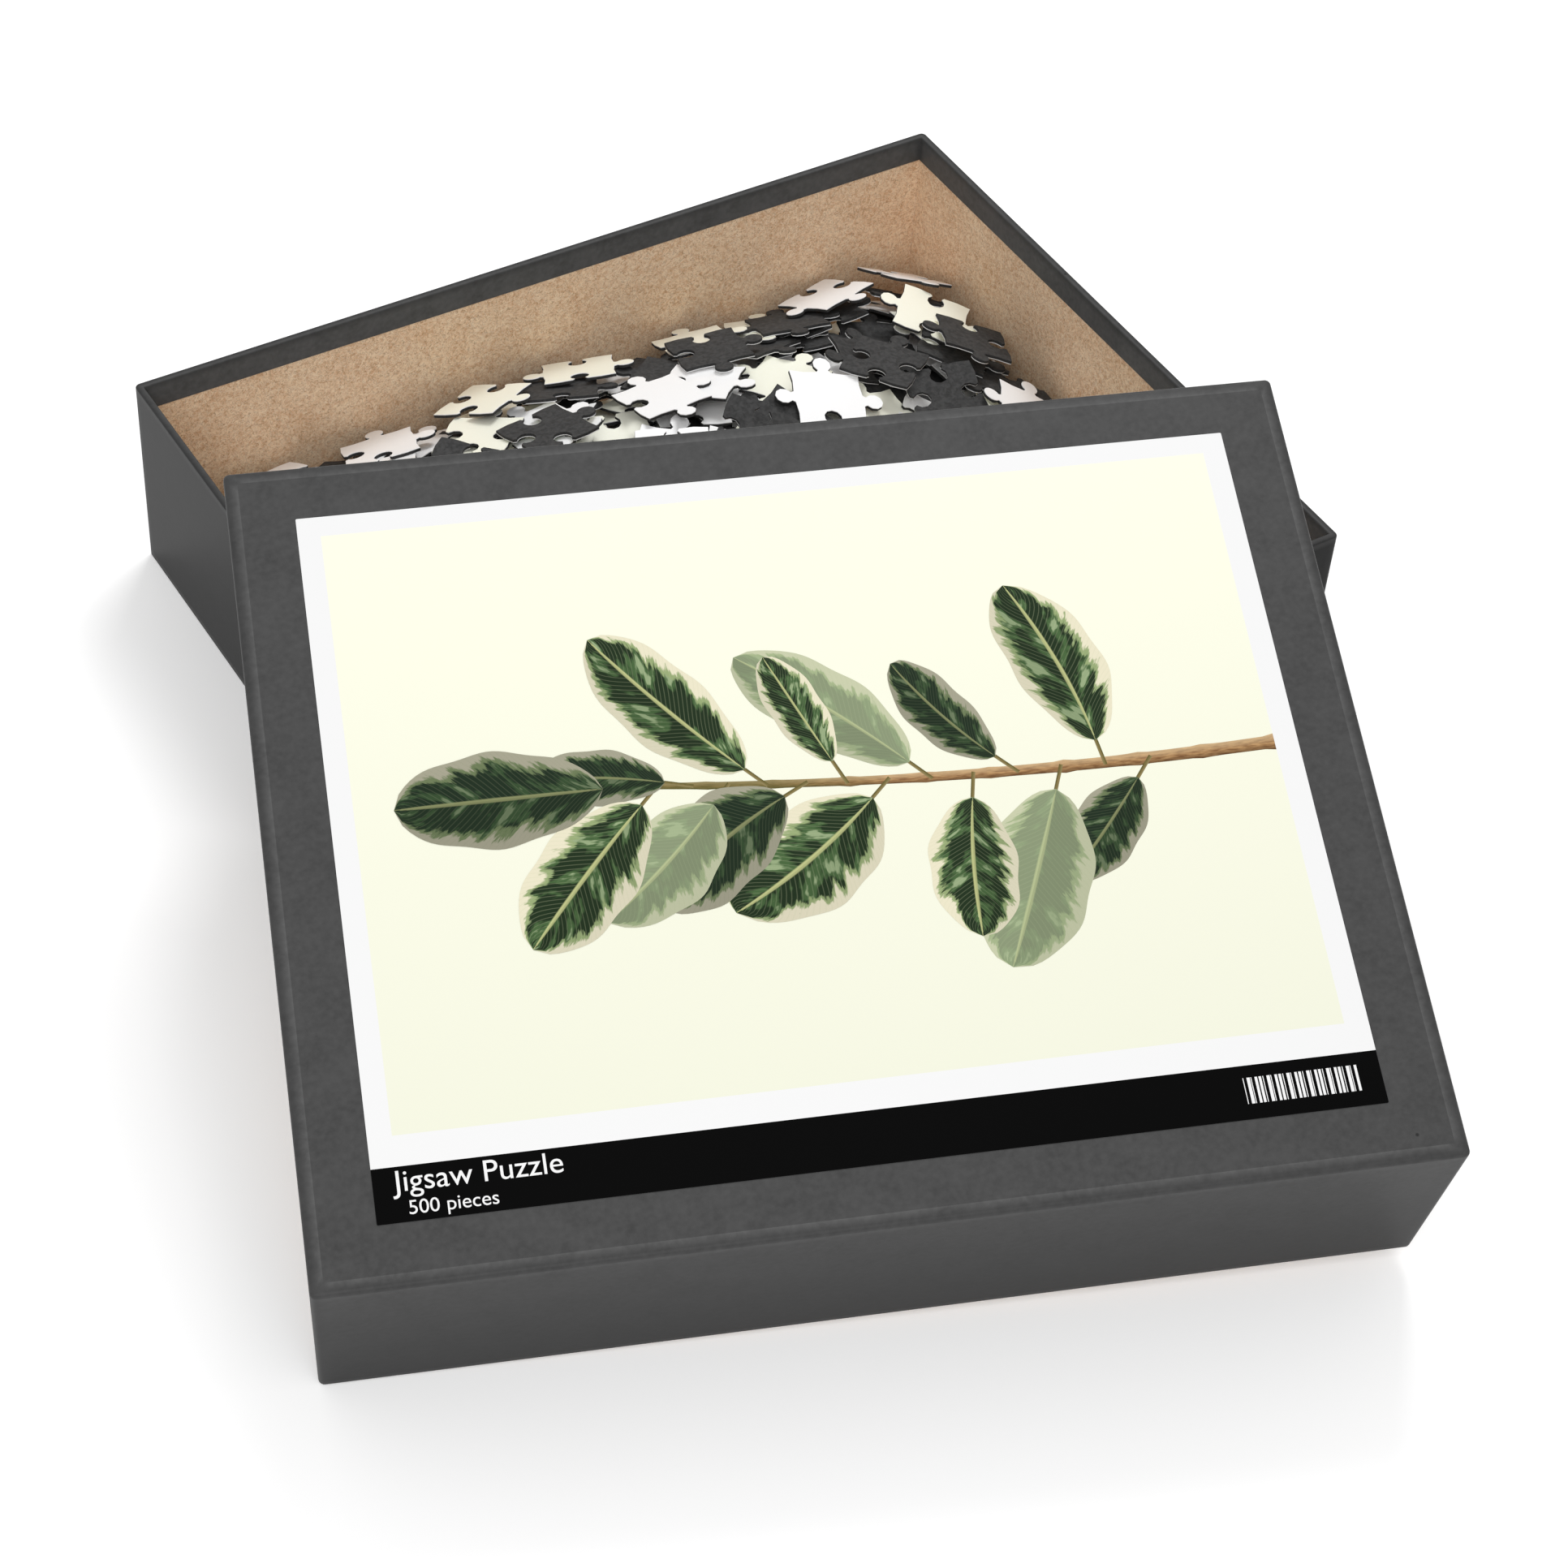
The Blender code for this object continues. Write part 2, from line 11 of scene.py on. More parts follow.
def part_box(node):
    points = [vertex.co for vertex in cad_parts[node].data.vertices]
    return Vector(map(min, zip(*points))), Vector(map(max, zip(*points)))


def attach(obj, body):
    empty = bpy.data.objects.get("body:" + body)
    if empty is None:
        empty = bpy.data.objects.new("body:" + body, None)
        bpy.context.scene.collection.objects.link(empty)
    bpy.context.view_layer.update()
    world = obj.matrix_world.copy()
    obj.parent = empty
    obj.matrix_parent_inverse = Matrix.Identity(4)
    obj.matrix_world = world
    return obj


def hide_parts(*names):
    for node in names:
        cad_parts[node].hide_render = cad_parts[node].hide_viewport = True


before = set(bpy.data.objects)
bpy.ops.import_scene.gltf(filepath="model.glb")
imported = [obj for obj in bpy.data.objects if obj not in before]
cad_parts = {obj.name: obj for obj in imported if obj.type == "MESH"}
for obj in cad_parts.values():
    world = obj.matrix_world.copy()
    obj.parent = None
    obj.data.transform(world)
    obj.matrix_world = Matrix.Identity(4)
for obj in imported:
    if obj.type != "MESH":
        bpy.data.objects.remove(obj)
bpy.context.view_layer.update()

MM = 0.001

# ---------------------------------------------------------------------------------------------------
# The table, the light and the camera.
# Matt white paper under a white tent, with one wide lamp overhead behind the box, so that what faces
# up and back is brightest, and a soft lamp by the camera, which looks down from the front left. The
# paper glows a little, for the light that a tent throws back on it.


def colour(code):
    """An sRGB hex colour as linear red, green, blue and alpha."""
    srgb = np.array([int(code[i:i + 2], 16) for i in (1, 3, 5)]) / 255
    linear = np.where(srgb <= 0.04045, srgb / 12.92, ((srgb + 0.055) / 1.055) ** 2.4)
    return (*linear.tolist(), 1.0)


def new_finish(name, roughness, ior, specular=0.5):
    """A new material with its node tree and its Principled shader."""
    made = bpy.data.materials.new(name)
    made.use_nodes = True
    shader = made.node_tree.nodes["Principled BSDF"]
    shader.inputs["Roughness"].default_value = roughness
    shader.inputs["IOR"].default_value = ior
    shader.inputs["Specular IOR Level"].default_value = specular
    return made, made.node_tree, shader


CAMERA_PLACE = Vector((-0.3979, -0.6149, 0.6842))
CAMERA_HEADING = math.radians(-34.5)
CAMERA_DIP = math.radians(45.47)
CAMERA_ROLL = math.radians(4.4)
CAMERA_LENS = 83.55
CAMERA_SENSOR = 36.0

camera = bpy.data.objects.new("camera", bpy.data.cameras.new("camera"))
camera.data.lens = CAMERA_LENS
camera.data.sensor_width = CAMERA_SENSOR
aim = Matrix.Rotation(CAMERA_HEADING, 4, "Z") @ Matrix.Rotation(math.pi / 2 - CAMERA_DIP, 4, "X")
camera.matrix_world = Matrix.Translation(CAMERA_PLACE) @ aim @ Matrix.Rotation(CAMERA_ROLL, 4, "Z")
bpy.context.scene.collection.objects.link(camera)
bpy.context.scene.camera = camera
bpy.context.scene.view_settings.view_transform = "Standard"

TENT_STRENGTH = 0.58
WHITE = (1.0, 1.0, 1.0, 1.0)
world = bpy.data.worlds.new("white_tent")
bpy.context.scene.world = world
world.use_nodes = True
world.node_tree.nodes["Background"].inputs["Color"].default_value = WHITE
world.node_tree.nodes["Background"].inputs["Strength"].default_value = TENT_STRENGTH

LAMP_TARGET = Vector((0.0, 0.0, 0.05))


def wide_lamp(name, place, size, power):
    """A square lamp of a given side in metres and power in watts, aimed at the box."""
    made = bpy.data.objects.new(name, bpy.data.lights.new(name, "AREA"))
    made.data.shape = "SQUARE"
    made.data.size = size
    made.data.energy = power
    made.location = place
    made.rotation_euler = (LAMP_TARGET - place).to_track_quat("-Z", "Y").to_euler()
    bpy.context.scene.collection.objects.link(made)


wide_lamp("rear_lamp", Vector((0.40, 0.40, 1.0)), size=0.45, power=5.2)
wide_lamp("camera_lamp", Vector((-0.5, -0.75, 0.85)), size=0.8, power=6.0)

FLOOR_HALF = 3.0
FLOOR_DROP = 0.05 * MM
PAPER_GLOW = 0.23
floor_mesh = bpy.data.meshes.new("table_top")
floor_corners = [(-1, -1), (1, -1), (1, 1), (-1, 1)]
floor_points = [(x * FLOOR_HALF, y * FLOOR_HALF, -FLOOR_DROP) for x, y in floor_corners]
floor_mesh.from_pydata(floor_points, [], [(0, 1, 2, 3)])
floor = bpy.data.objects.new("table_top", floor_mesh)
bpy.context.scene.collection.objects.link(floor)
white_paper, tree, shader = new_finish("matt white background paper", roughness=0.9, ior=1.5, specular=0.0)
shader.inputs["Base Color"].default_value = colour("#f4f4f4")
shader.inputs["Emission Color"].default_value = WHITE
shader.inputs["Emission Strength"].default_value = PAPER_GLOW
floor_mesh.materials.append(white_paper)

# ---------------------------------------------------------------------------------------------------
# The tray's boards and the lid's.
# Rigid panels of 1.2 mm chipboard with a brown kraft liner. Unbleached pulp rolled flat: dull, with
# soft patches and curled fibres, some lighter and some darker than the sheet. Real fibres are 1 to
# 3 mm long and finer than a hair. These are drawn coarser, to show.

FIBRE_CURL = 3.2 * MM
DARK_CURL = 0.8 * FIBRE_CURL
FIBRE_SHARE = 0.6
PULP = 1.4 * MM
PULP_SHARE = 0.6
PATCH = 14.0 * MM
NOISE_MIDDLE = 0.5
NOISE_SPAN = (0.35, 0.65)


def add(tree, kind, *values, sockets=None, **settings):
    """A new shader node with its settings. Its inputs, in order or by name, are linked or set.

    A node given for an input stands for its first output.
    """
    node = tree.nodes.new("ShaderNode" + kind)
    for key, value in settings.items():
        setattr(node, key, value)
    for key, value in [*enumerate(values), *(sockets or {}).items()]:
        if isinstance(value, bpy.types.Node):
            value = value.outputs[0]
        if isinstance(value, bpy.types.NodeSocket):
            tree.links.new(value, node.inputs[key])
        else:
            node.inputs[key].default_value = value
    return node


def cover(tree, shader, tone, relief=None, strength=0.0, depth=0.0):
    """Gives a shader its colour and, if there is one, a relief of some depth as its bump."""
    tree.links.new(tone.outputs[0], shader.inputs["Base Color"])
    if relief is not None:
        bump = add(tree, "Bump", sockets={"Height": relief, "Strength": strength, "Distance": depth})
        tree.links.new(bump.outputs[0], shader.inputs["Normal"])


def curled_lines(tree, place, size, warp, width):
    """Curled lines: where a warped noise crosses its middle value, 1 on the line and 0 off it."""
    noise = add(tree, "TexNoise", place, sockets={"Scale": 1 / size, "Detail": 2.0, "Distortion": warp})
    away = add(tree, "Math", noise, NOISE_MIDDLE, operation="SUBTRACT")
    away = add(tree, "Math", away, operation="ABSOLUTE")
    return add(tree, "MapRange", away, 0.0, width, 1.0, 0.0)


kraft, tree, shader = new_finish("brown kraft liner", roughness=0.85, ior=1.5)
place = add(tree, "TexCoord").outputs["Object"]
moved = add(tree, "Mapping", place, sockets={"Location": (0.31, 0.17, 0.23)})
patches = add(tree, "TexNoise", place, sockets={"Scale": 1 / PATCH, "Detail": 4.0})
patches = add(tree, "MapRange", patches, *NOISE_SPAN)
sheet = add(tree, "MixRGB", patches, colour("#eac7a2"), colour("#f3d5b2"))
pulp_grain = {"Scale": 1 / PULP, "Detail": 5.0, "Roughness": 0.65, "Distortion": 0.8}
pulp = add(tree, "TexNoise", place, sockets=pulp_grain)
brown_pulp = add(tree, "MapRange", pulp, 0.52, 0.34, 0.0, PULP_SHARE)
sheet = add(tree, "MixRGB", brown_pulp, sheet, colour("#c98f60"))
pale_pulp = add(tree, "MapRange", pulp, 0.52, 0.66, 0.0, PULP_SHARE)
sheet = add(tree, "MixRGB", pale_pulp, sheet, colour("#ffe6c8"))
pale = curled_lines(tree, place, FIBRE_CURL, warp=2.5, width=0.05)
dark = curled_lines(tree, moved, DARK_CURL, warp=3.0, width=0.04)
pale_share = add(tree, "Math", pale, FIBRE_SHARE, operation="MULTIPLY")
dark_share = add(tree, "Math", dark, FIBRE_SHARE, operation="MULTIPLY")
sheet = add(tree, "MixRGB", pale_share, sheet, colour("#fbe9d0"))
sheet = add(tree, "MixRGB", dark_share, sheet, colour("#9a6f48"))
raised = add(tree, "Math", pale, dark, operation="SUBTRACT")
cover(tree, shader, sheet, raised, strength=0.25, depth=0.05 * MM)

for half in ("tray", "lid"):
    for side in ("front", "back", "left", "right"):
        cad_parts[f"{half}_{side}_board"].data.materials[0] = kraft
for node in ("tray_base_board", "lid_top_board"):
    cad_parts[node].data.materials[0] = kraft

# ---------------------------------------------------------------------------------------------------
# The corner stays.
# Gummed paper tape folded round each upright corner before the box is wrapped. Smooth brown paper,
# with faint lines along the tape from the paper machine.

TAPE_LINE = 0.8 * MM
TAPE_STRETCH = (1.0, 1.0, 0.06)

tape, tree, shader = new_finish("gummed brown paper tape", roughness=0.6, ior=1.5)
flat = add(tree, "Mapping", add(tree, "TexCoord").outputs["Object"], sockets={"Scale": TAPE_STRETCH})
streaks = add(tree, "TexNoise", flat, sockets={"Scale": 1 / TAPE_LINE, "Detail": 3.0})
streaks = add(tree, "MapRange", streaks, *NOISE_SPAN)
cover(tree, shader, add(tree, "MixRGB", streaks, colour("#b79163"), colour("#c8a678")))

for half in ("tray", "lid"):
    for corner in ("front_left", "front_right", "back_left", "back_right"):
        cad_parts[f"{half}_stay_{corner}"].data.materials[0] = tape

# ---------------------------------------------------------------------------------------------------
# The tray's wrap, with the sheet under its base.
# Uncoated charcoal paper of 0.2 mm, glued round the walls, turned under at the foot and turned in
# over the rim. Dull, with a mottle drawn a little coarser than real, a few dark specks, and a band of
# painted shade along every fold. The walls are darkened with painted shade, so they show darker than the
# lid's top.

WRAP = 0.2 * MM
TURN_IN_FACE = 1.85 * MM
WALL = 2.05 * MM
CORNER_RADIUS = 1.5 * MM
SMALLEST_RADIUS = 0.15 * MM
RIM_RADIUS = 0.5 * MM
TURN_IN = 8.0 * MM
TURN_UNDER = 15.0 * MM
FOOT_CHAMFER = 0.3 * MM
FOOT = 0.3 * MM
FOLD_BAND = 2.0 * MM
ARC_STEPS = 7
MOTTLE = 1.6 * MM
CLOUD = 9.0 * MM
WRAP_NOISE_SPAN = (0.3, 0.7)
SPECK_SPACING = 16.0 * MM
SPECK_EDGE = (0.015, 0.035)
WALL_SHADE_SHARE = 0.9
FOLD_SHADE_SHARE = 0.4
SHARPEST_SMOOTH = 50

charcoal, tree, shader = new_finish("uncoated charcoal wrap paper", roughness=0.4, ior=1.22, specular=0.35)
place = add(tree, "TexCoord").outputs["Object"]
mottle = add(tree, "TexNoise", place, sockets={"Scale": 1 / MOTTLE, "Detail": 4.0})
clouds = add(tree, "TexNoise", place, sockets={"Scale": 1 / CLOUD, "Detail": 2.0})
mottle_share = add(tree, "MapRange", mottle, *WRAP_NOISE_SPAN)
tone = add(tree, "MixRGB", mottle_share, colour("#4b4b4b"), colour("#585858"))
cloud_share = add(tree, "MapRange", clouds, *WRAP_NOISE_SPAN, 0.0, 0.35)
tone = add(tree, "MixRGB", cloud_share, tone, colour("#646464"))
speck = add(tree, "TexVoronoi", place, sockets={"Scale": 1 / SPECK_SPACING}).outputs["Distance"]
speck = add(tree, "MapRange", speck, *SPECK_EDGE, 0.7, 0.0)
tone = add(tree, "MixRGB", speck, tone, colour("#101010"))
# Painted shade: where the shade attribute is up, on the walls, the charcoal is mixed towards near black, so
# the walls show darker than the top.
wall_shade_share = add(tree, "Attribute", attribute_name="shade").outputs["Fac"]
painted_wall_shade = add(tree, "MixRGB", WALL_SHADE_SHARE, tone, colour("#080808"))
tone = add(tree, "MixRGB", wall_shade_share, tone, painted_wall_shade)
# Painted shade: a dark band along every fold and upright corner, where the fold attribute is up.
on_fold = add(tree, "Attribute", attribute_name="fold").outputs["Fac"]
painted_fold_shade = add(tree, "Math", on_fold, FOLD_SHADE_SHARE, operation="MULTIPLY")
tone = add(tree, "MixRGB", painted_fold_shade, tone, colour("#262626"))
cover(tree, shader, tone, mottle, strength=0.2, depth=0.05 * MM)


def arc(centre_depth, centre_height, radius, start, end, steps=ARC_STEPS):
    """Profile points (depth in, height) round a centre, from one angle to another, both in degrees.

    At 0 the point is deeper in than the centre, and at 90 above it.
    """
    angle = np.radians(np.linspace(start, end, steps))
    return np.stack([centre_depth + radius * np.cos(angle), centre_height + radius * np.sin(angle)], axis=1)


def grid_faces(rows, columns, close_rows):
    """Quads between neighbours of a grid of points whose columns close in a ring."""
    row, column = np.meshgrid(np.arange(rows - (not close_rows)), np.arange(columns), indexing="ij")
    row, column = row.ravel(), column.ravel()
    next_row, next_column = (row + 1) % rows, (column + 1) % columns
    corners = (row * columns + column, row * columns + next_column,
               next_row * columns + next_column, next_row * columns + column)
    return np.stack(corners, axis=1)


def made_piece(name, points, faces, finishes):
    """A mesh object at the origin, from an array of points in metres and a list of faces."""
    mesh = bpy.data.meshes.new(name)
    mesh.from_pydata(points.reshape(-1, 3).tolist(), [], [tuple(face) for face in faces])
    for finish in finishes:
        mesh.materials.append(finish)
    made = bpy.data.objects.new(name, mesh)
    bpy.context.scene.collection.objects.link(made)
    return made


def point_outwards(made):
    """Turns the faces of a closed mesh to point out."""
    shape = bmesh.new()
    shape.from_mesh(made.data)
    bmesh.ops.recalc_face_normals(shape, faces=shape.faces)
    shape.to_mesh(made.data)
    shape.free()


def placed(points, placing):
    """An array of points turned and moved by a 4 x 4 placing."""
    matrix = np.array(placing)
    return points @ matrix[:3, :3].T + matrix[:3, 3]


def folded_wrap(name, profile, creased, shaded, half_x, half_y, placing, capped=False):
    """A folded sheet: each profile point (depth in, height) carried round a rectangle.

    A ring point is the corner's centre plus the corner radius, less the depth, along its direction.
    Each corner also has a point on the wall either side of it, a band away, where its painted fold shade
    ends.
    Creased and shaded give each profile point its share of the painted shade along a fold and of the painted
    shade on a wall.
    """
    angles = np.radians(np.linspace(0, 90, ARC_STEPS))
    turns = np.radians([0, 90, 180, 270])
    signs = np.array([(1, 1), (-1, 1), (-1, -1), (1, -1)])
    angle = (turns[:, None] + np.concatenate([angles[:1], angles, angles[-1:]])).ravel()
    shift = np.zeros((4, ARC_STEPS + 2, 2))
    shift[:, 0] = np.stack([np.sin(turns), -np.cos(turns)], axis=1) * FOLD_BAND
    shift[:, -1] = np.stack([-np.cos(turns), -np.sin(turns)], axis=1) * FOLD_BAND
    sign = np.repeat(signs, ARC_STEPS + 2, axis=0)
    depth = profile[:, 0][:, None, None]
    radius = np.maximum(CORNER_RADIUS - depth, SMALLEST_RADIUS)
    direction = np.stack([np.cos(angle), np.sin(angle)], axis=1)
    corner = sign * (np.array([half_x, half_y]) - depth - radius)
    ground = corner + radius * direction + shift.reshape(-1, 2)
    height = np.broadcast_to(profile[:, 1][:, None, None], (*ground.shape[:2], 1))
    points = np.concatenate([ground, height], axis=2)
    rows, columns = points.shape[:2]
    faces = grid_faces(rows, columns, not capped).tolist()
    if capped:
        faces.append(list(range(columns))[::-1])
        faces.append(list(range((rows - 1) * columns, rows * columns)))
    made = made_piece(name, placed(points, placing), faces, [charcoal])
    on_corner = np.ones((4, ARC_STEPS + 2))
    on_corner[:, [0, -1]] = 0
    fold = np.maximum(np.asarray(creased, float)[:, None], on_corner.reshape(1, -1))
    shade = np.broadcast_to(np.asarray(shaded, float)[:, None], fold.shape)
    made.data.attributes.new("fold", "FLOAT", "POINT").data.foreach_set("value", fold.ravel())
    made.data.attributes.new("shade", "FLOAT", "POINT").data.foreach_set("value", shade.ravel())
    point_outwards(made)
    return made


def smoothed(made, sharpest):
    """Smooth shading, but not over edges sharper than an angle in degrees."""
    made.data.shade_smooth()
    made.data.set_sharp_from_angle(angle=math.radians(sharpest))


tray_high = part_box("tray_wrap")[1]
tray_top = tray_high.z
tray_half_x = tray_high.x
tray_half_y = tray_high.y
foot_line = FOOT + FOOT_CHAMFER
outside_rim = arc(RIM_RADIUS, tray_top - RIM_RADIUS, RIM_RADIUS, 180, 90)
over_rim = arc(WALL - RIM_RADIUS, tray_top - RIM_RADIUS, RIM_RADIUS, 90, 0)
inside_rim = arc(WALL - RIM_RADIUS, tray_top - RIM_RADIUS, RIM_RADIUS - WRAP, 0, 90)
under_rim = arc(RIM_RADIUS, tray_top - RIM_RADIUS, RIM_RADIUS - WRAP, 90, 180)
tray_profile = np.concatenate([
    [(TURN_UNDER, FOOT), (FOOT_CHAMFER, FOOT), (0, foot_line), (0, foot_line + FOLD_BAND)],
    [(0, tray_top - RIM_RADIUS - FOLD_BAND)],
    outside_rim,
    over_rim,
    [(WALL, tray_top - RIM_RADIUS - FOLD_BAND)],
    [(WALL, tray_top - TURN_IN), (TURN_IN_FACE, tray_top - TURN_IN)],
    inside_rim,
    under_rim,
    [(WRAP, foot_line), (FOOT_CHAMFER, FOOT + WRAP), (TURN_UNDER, FOOT + WRAP)],
])
# Each profile point's share of the painted shade along a fold, and of the painted shade on the walls.
tray_creased = [0, 1, 1, 0, 0] + [1] * 2 * ARC_STEPS + [0, 0, 0] + [0] * 2 * ARC_STEPS + [0, 0, 0]
tray_shaded = [1.0] * 5 + [0.5] * ARC_STEPS + [0.0] * (3 * ARC_STEPS + 6)
tray_wrap = folded_wrap(
    "tray_wrap_paper", tray_profile, tray_creased, tray_shaded, tray_half_x, tray_half_y, Matrix.Identity(4)
)
smoothed(tray_wrap, SHARPEST_SMOOTH)
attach(tray_wrap, "tray")
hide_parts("tray_wrap")
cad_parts["tray_base_paper"].data.materials[0] = charcoal

# ---------------------------------------------------------------------------------------------------
# The lid's wrap.
# One sheet of the same charcoal paper over the top and the four walls, turned in at the mouth. The
# lid leans, so it is built upright about the centre of its mouth and then placed.

LID_LENGTH = 256.0 * MM
LID_WIDTH = 206.0 * MM
LID_HEIGHT = 58.5 * MM
LID_CORNER = Vector((-207.9 * MM, -172.6 * MM, 0.3 * MM))
LID_YAW = math.radians(-20.9)
LID_TILT = math.radians(17.0)
LID_ROLL = math.radians(1.45)
TOP_EDGE_RADIUS = 1.2 * MM


def lean_of_lid():
    """The placing of the lid's own frame, whose origin is the centre of its mouth."""
    turn = Matrix.Rotation(LID_YAW, 4, "Z")
    tilt = Matrix.Rotation(LID_TILT, 4, "X")
    roll = Matrix.Rotation(-LID_ROLL, 4, "Y")
    corner = Vector((-LID_LENGTH / 2, -LID_WIDTH / 2, 0))
    return Matrix.Translation(LID_CORNER) @ turn @ tilt @ roll @ Matrix.Translation(-corner)


lean = lean_of_lid()
edge_line = LID_HEIGHT - TOP_EDGE_RADIUS
outer_edge = arc(TOP_EDGE_RADIUS, edge_line, TOP_EDGE_RADIUS, 90, 180)
inner_edge = arc(TOP_EDGE_RADIUS, edge_line, TOP_EDGE_RADIUS - WRAP, 180, 90)
outer_mouth = arc(RIM_RADIUS, RIM_RADIUS, RIM_RADIUS, 180, 270)
round_mouth = arc(WALL - RIM_RADIUS, RIM_RADIUS, RIM_RADIUS, 270, 360)
inner_mouth = arc(WALL - RIM_RADIUS, RIM_RADIUS, RIM_RADIUS - WRAP, 360, 270)
back_mouth = arc(RIM_RADIUS, RIM_RADIUS, RIM_RADIUS - WRAP, 270, 180)
lid_profile = np.concatenate([
    [(TOP_EDGE_RADIUS + FOLD_BAND, LID_HEIGHT)],
    outer_edge,
    [(0, edge_line - FOLD_BAND), (0, RIM_RADIUS + FOLD_BAND)],
    outer_mouth,
    round_mouth,
    [(WALL, RIM_RADIUS + FOLD_BAND), (WALL, TURN_IN), (TURN_IN_FACE, TURN_IN)],
    inner_mouth,
    back_mouth,
    inner_edge,
    [(TOP_EDGE_RADIUS + FOLD_BAND, LID_HEIGHT - WRAP)],
])
# Each profile point's share of the painted shade along a fold, and of the painted shade on the walls, deepest
# towards the mouth.
lid_creased = [0] + [1] * ARC_STEPS + [0, 0] + [1] * 2 * ARC_STEPS + [0] * (3 + 3 * ARC_STEPS + 1)
lid_shaded = [0.0] + [0.2] * ARC_STEPS + [0.7, 1.0] + [1.0] * ARC_STEPS + [0.0] * (4 * ARC_STEPS + 4)
lid_wrap = folded_wrap(
    "lid_wrap_paper", lid_profile, lid_creased, lid_shaded, LID_LENGTH / 2, LID_WIDTH / 2, lean, capped=True
)
smoothed(lid_wrap, SHARPEST_SMOOTH)
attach(lid_wrap, "lid")
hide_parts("lid_wrap")

# ---------------------------------------------------------------------------------------------------
# The label on the lid.
# Satin paper glued flat on the top: a white border round a cream picture, and a black band along the
# front edge. Coated and calendered, so smooth to the eye, with a soft even sheen.

LABEL_LENGTH = 224.5 * MM
LABEL_WIDTH = 177.0 * MM
LABEL_THICKNESS = 0.15 * MM
LABEL_CORNER = 0.3 * MM
BAND_WIDTH = 12.75 * MM
PICTURE_LOW = np.array([5.4, 19.95]) * MM
PICTURE_HIGH = np.array([218.9, 171.7]) * MM
PAPER_TOOTH = 0.5 * MM
TOOTH_DEPTH = 0.02 * MM
SATIN = {"roughness": 0.42, "ior": 1.5, "specular": 0.06}


def lay_map(made, name, places):
    """A UV map that gives every face corner the place of its point."""
    corner = np.empty(len(made.data.loops), np.int32)
    made.data.loops.foreach_get("vertex_index", corner)
    layer = made.data.uv_layers.new(name=name)
    layer.data.foreach_set("uv", np.asarray(places)[corner].astype(np.float32).ravel())


satin, tree, shader = new_finish("satin printed label paper", **SATIN)
spot = add(tree, "SeparateXYZ", add(tree, "UVMap", uv_map="print"))
picture_middle = (PICTURE_LOW + PICTURE_HIGH) / 2
picture_half = (PICTURE_HIGH - PICTURE_LOW) / 2
in_x = add(tree, "Math", spot.outputs["X"], picture_middle[0], picture_half[0], operation="COMPARE")
in_y = add(tree, "Math", spot.outputs["Y"], picture_middle[1], picture_half[1], operation="COMPARE")
in_picture = add(tree, "Math", in_x, in_y, operation="MULTIPLY")
# Painted light: the cream is painted lighter towards the back of the label, where the lamp behind the box
# falls.
painted_light_rearwards = add(tree, "MapRange", spot.outputs["Y"], PICTURE_LOW[1], PICTURE_HIGH[1])
cream = add(tree, "MixRGB", painted_light_rearwards, colour("#e4e5d3"), colour("#eeeedb"))
ink = add(tree, "MixRGB", in_picture, colour("#e6e6e6"), cream)
in_band = add(tree, "Math", spot.outputs["Y"], 0.0, BAND_WIDTH, operation="COMPARE")
ink = add(tree, "MixRGB", in_band, ink, colour("#000000"))
place = add(tree, "TexCoord").outputs["Object"]
tooth = add(tree, "TexNoise", place, sockets={"Scale": 1 / PAPER_TOOTH, "Detail": 2.0})
cover(tree, shader, ink, tooth, strength=0.05, depth=TOOTH_DEPTH)

on_label = lean @ Matrix.Translation((-LABEL_LENGTH / 2, -LABEL_WIDTH / 2, LID_HEIGHT))


def rounded_outline(length, width, radius, steps):
    """Points round a rectangle from its near left corner at the origin, each corner an arc."""
    angle = np.radians(np.linspace(0, 90, steps)) + np.radians([0, 90, 180, 270])[:, None]
    centre = np.array([(length - radius, width - radius), (radius, width - radius),
                       (radius, radius), (length - radius, radius)])
    points = centre[:, None] + radius * np.stack([np.cos(angle), np.sin(angle)], axis=-1)
    return points.reshape(-1, 2)


def slab(name, outline, low, high, placing, finishes):
    """A flat outline, anticlockwise, given a thickness: two faces and a quad along each edge."""
    count = len(outline)
    heights = np.repeat([low, high], count)[:, None]
    points = np.concatenate([np.tile(outline, (2, 1)), heights], axis=1)
    faces = grid_faces(2, count, False).tolist()
    faces += [list(range(count))[::-1], list(range(count, 2 * count))]
    return made_piece(name, placed(points, placing), faces, finishes)


label_outline = rounded_outline(LABEL_LENGTH, LABEL_WIDTH, LABEL_CORNER, steps=4)
label = slab("printed_label", label_outline, 0, LABEL_THICKNESS, on_label, [satin])
lay_map(label, "print", np.tile(label_outline, (2, 1)))
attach(label, "lid")
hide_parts("lid_label")

# ---------------------------------------------------------------------------------------------------
# The words and the bars on the label's band.
# White ink left open in the black band: plain words for what is in the box, and a row of bars that
# codes nothing. Ink has no thickness, so each is a flat shape a hair above the paper.

INK_LIFT = 0.01 * MM
PRINT_LEVEL = LABEL_THICKNESS + INK_LIFT
TITLE_SIZE = 7.0 * MM
TITLE_AT = (4.6 * MM, 7.0 * MM)
COUNT_SIZE = 4.6 * MM
COUNT_AT = (7.0 * MM, 1.6 * MM)
BAR_ROW = (193.0 * MM, 219.5 * MM)
BAR_FOOT = 3.6 * MM
BAR_TOP = 9.8 * MM
BAR_COUNT = 29
THINNEST_BAR = 0.2
BAR_STEP = 0.15
BAR_WIDTHS = 5

open_ink, tree, shader = new_finish("white ink on the label band", **SATIN)
place = add(tree, "TexCoord").outputs["Object"]
grain = add(tree, "TexNoise", place, sockets={"Scale": 1 / PAPER_TOOTH, "Detail": 2.0})
cover(tree, shader, add(tree, "MixRGB", grain, colour("#dcdcdc"), colour("#f0f0f0")))


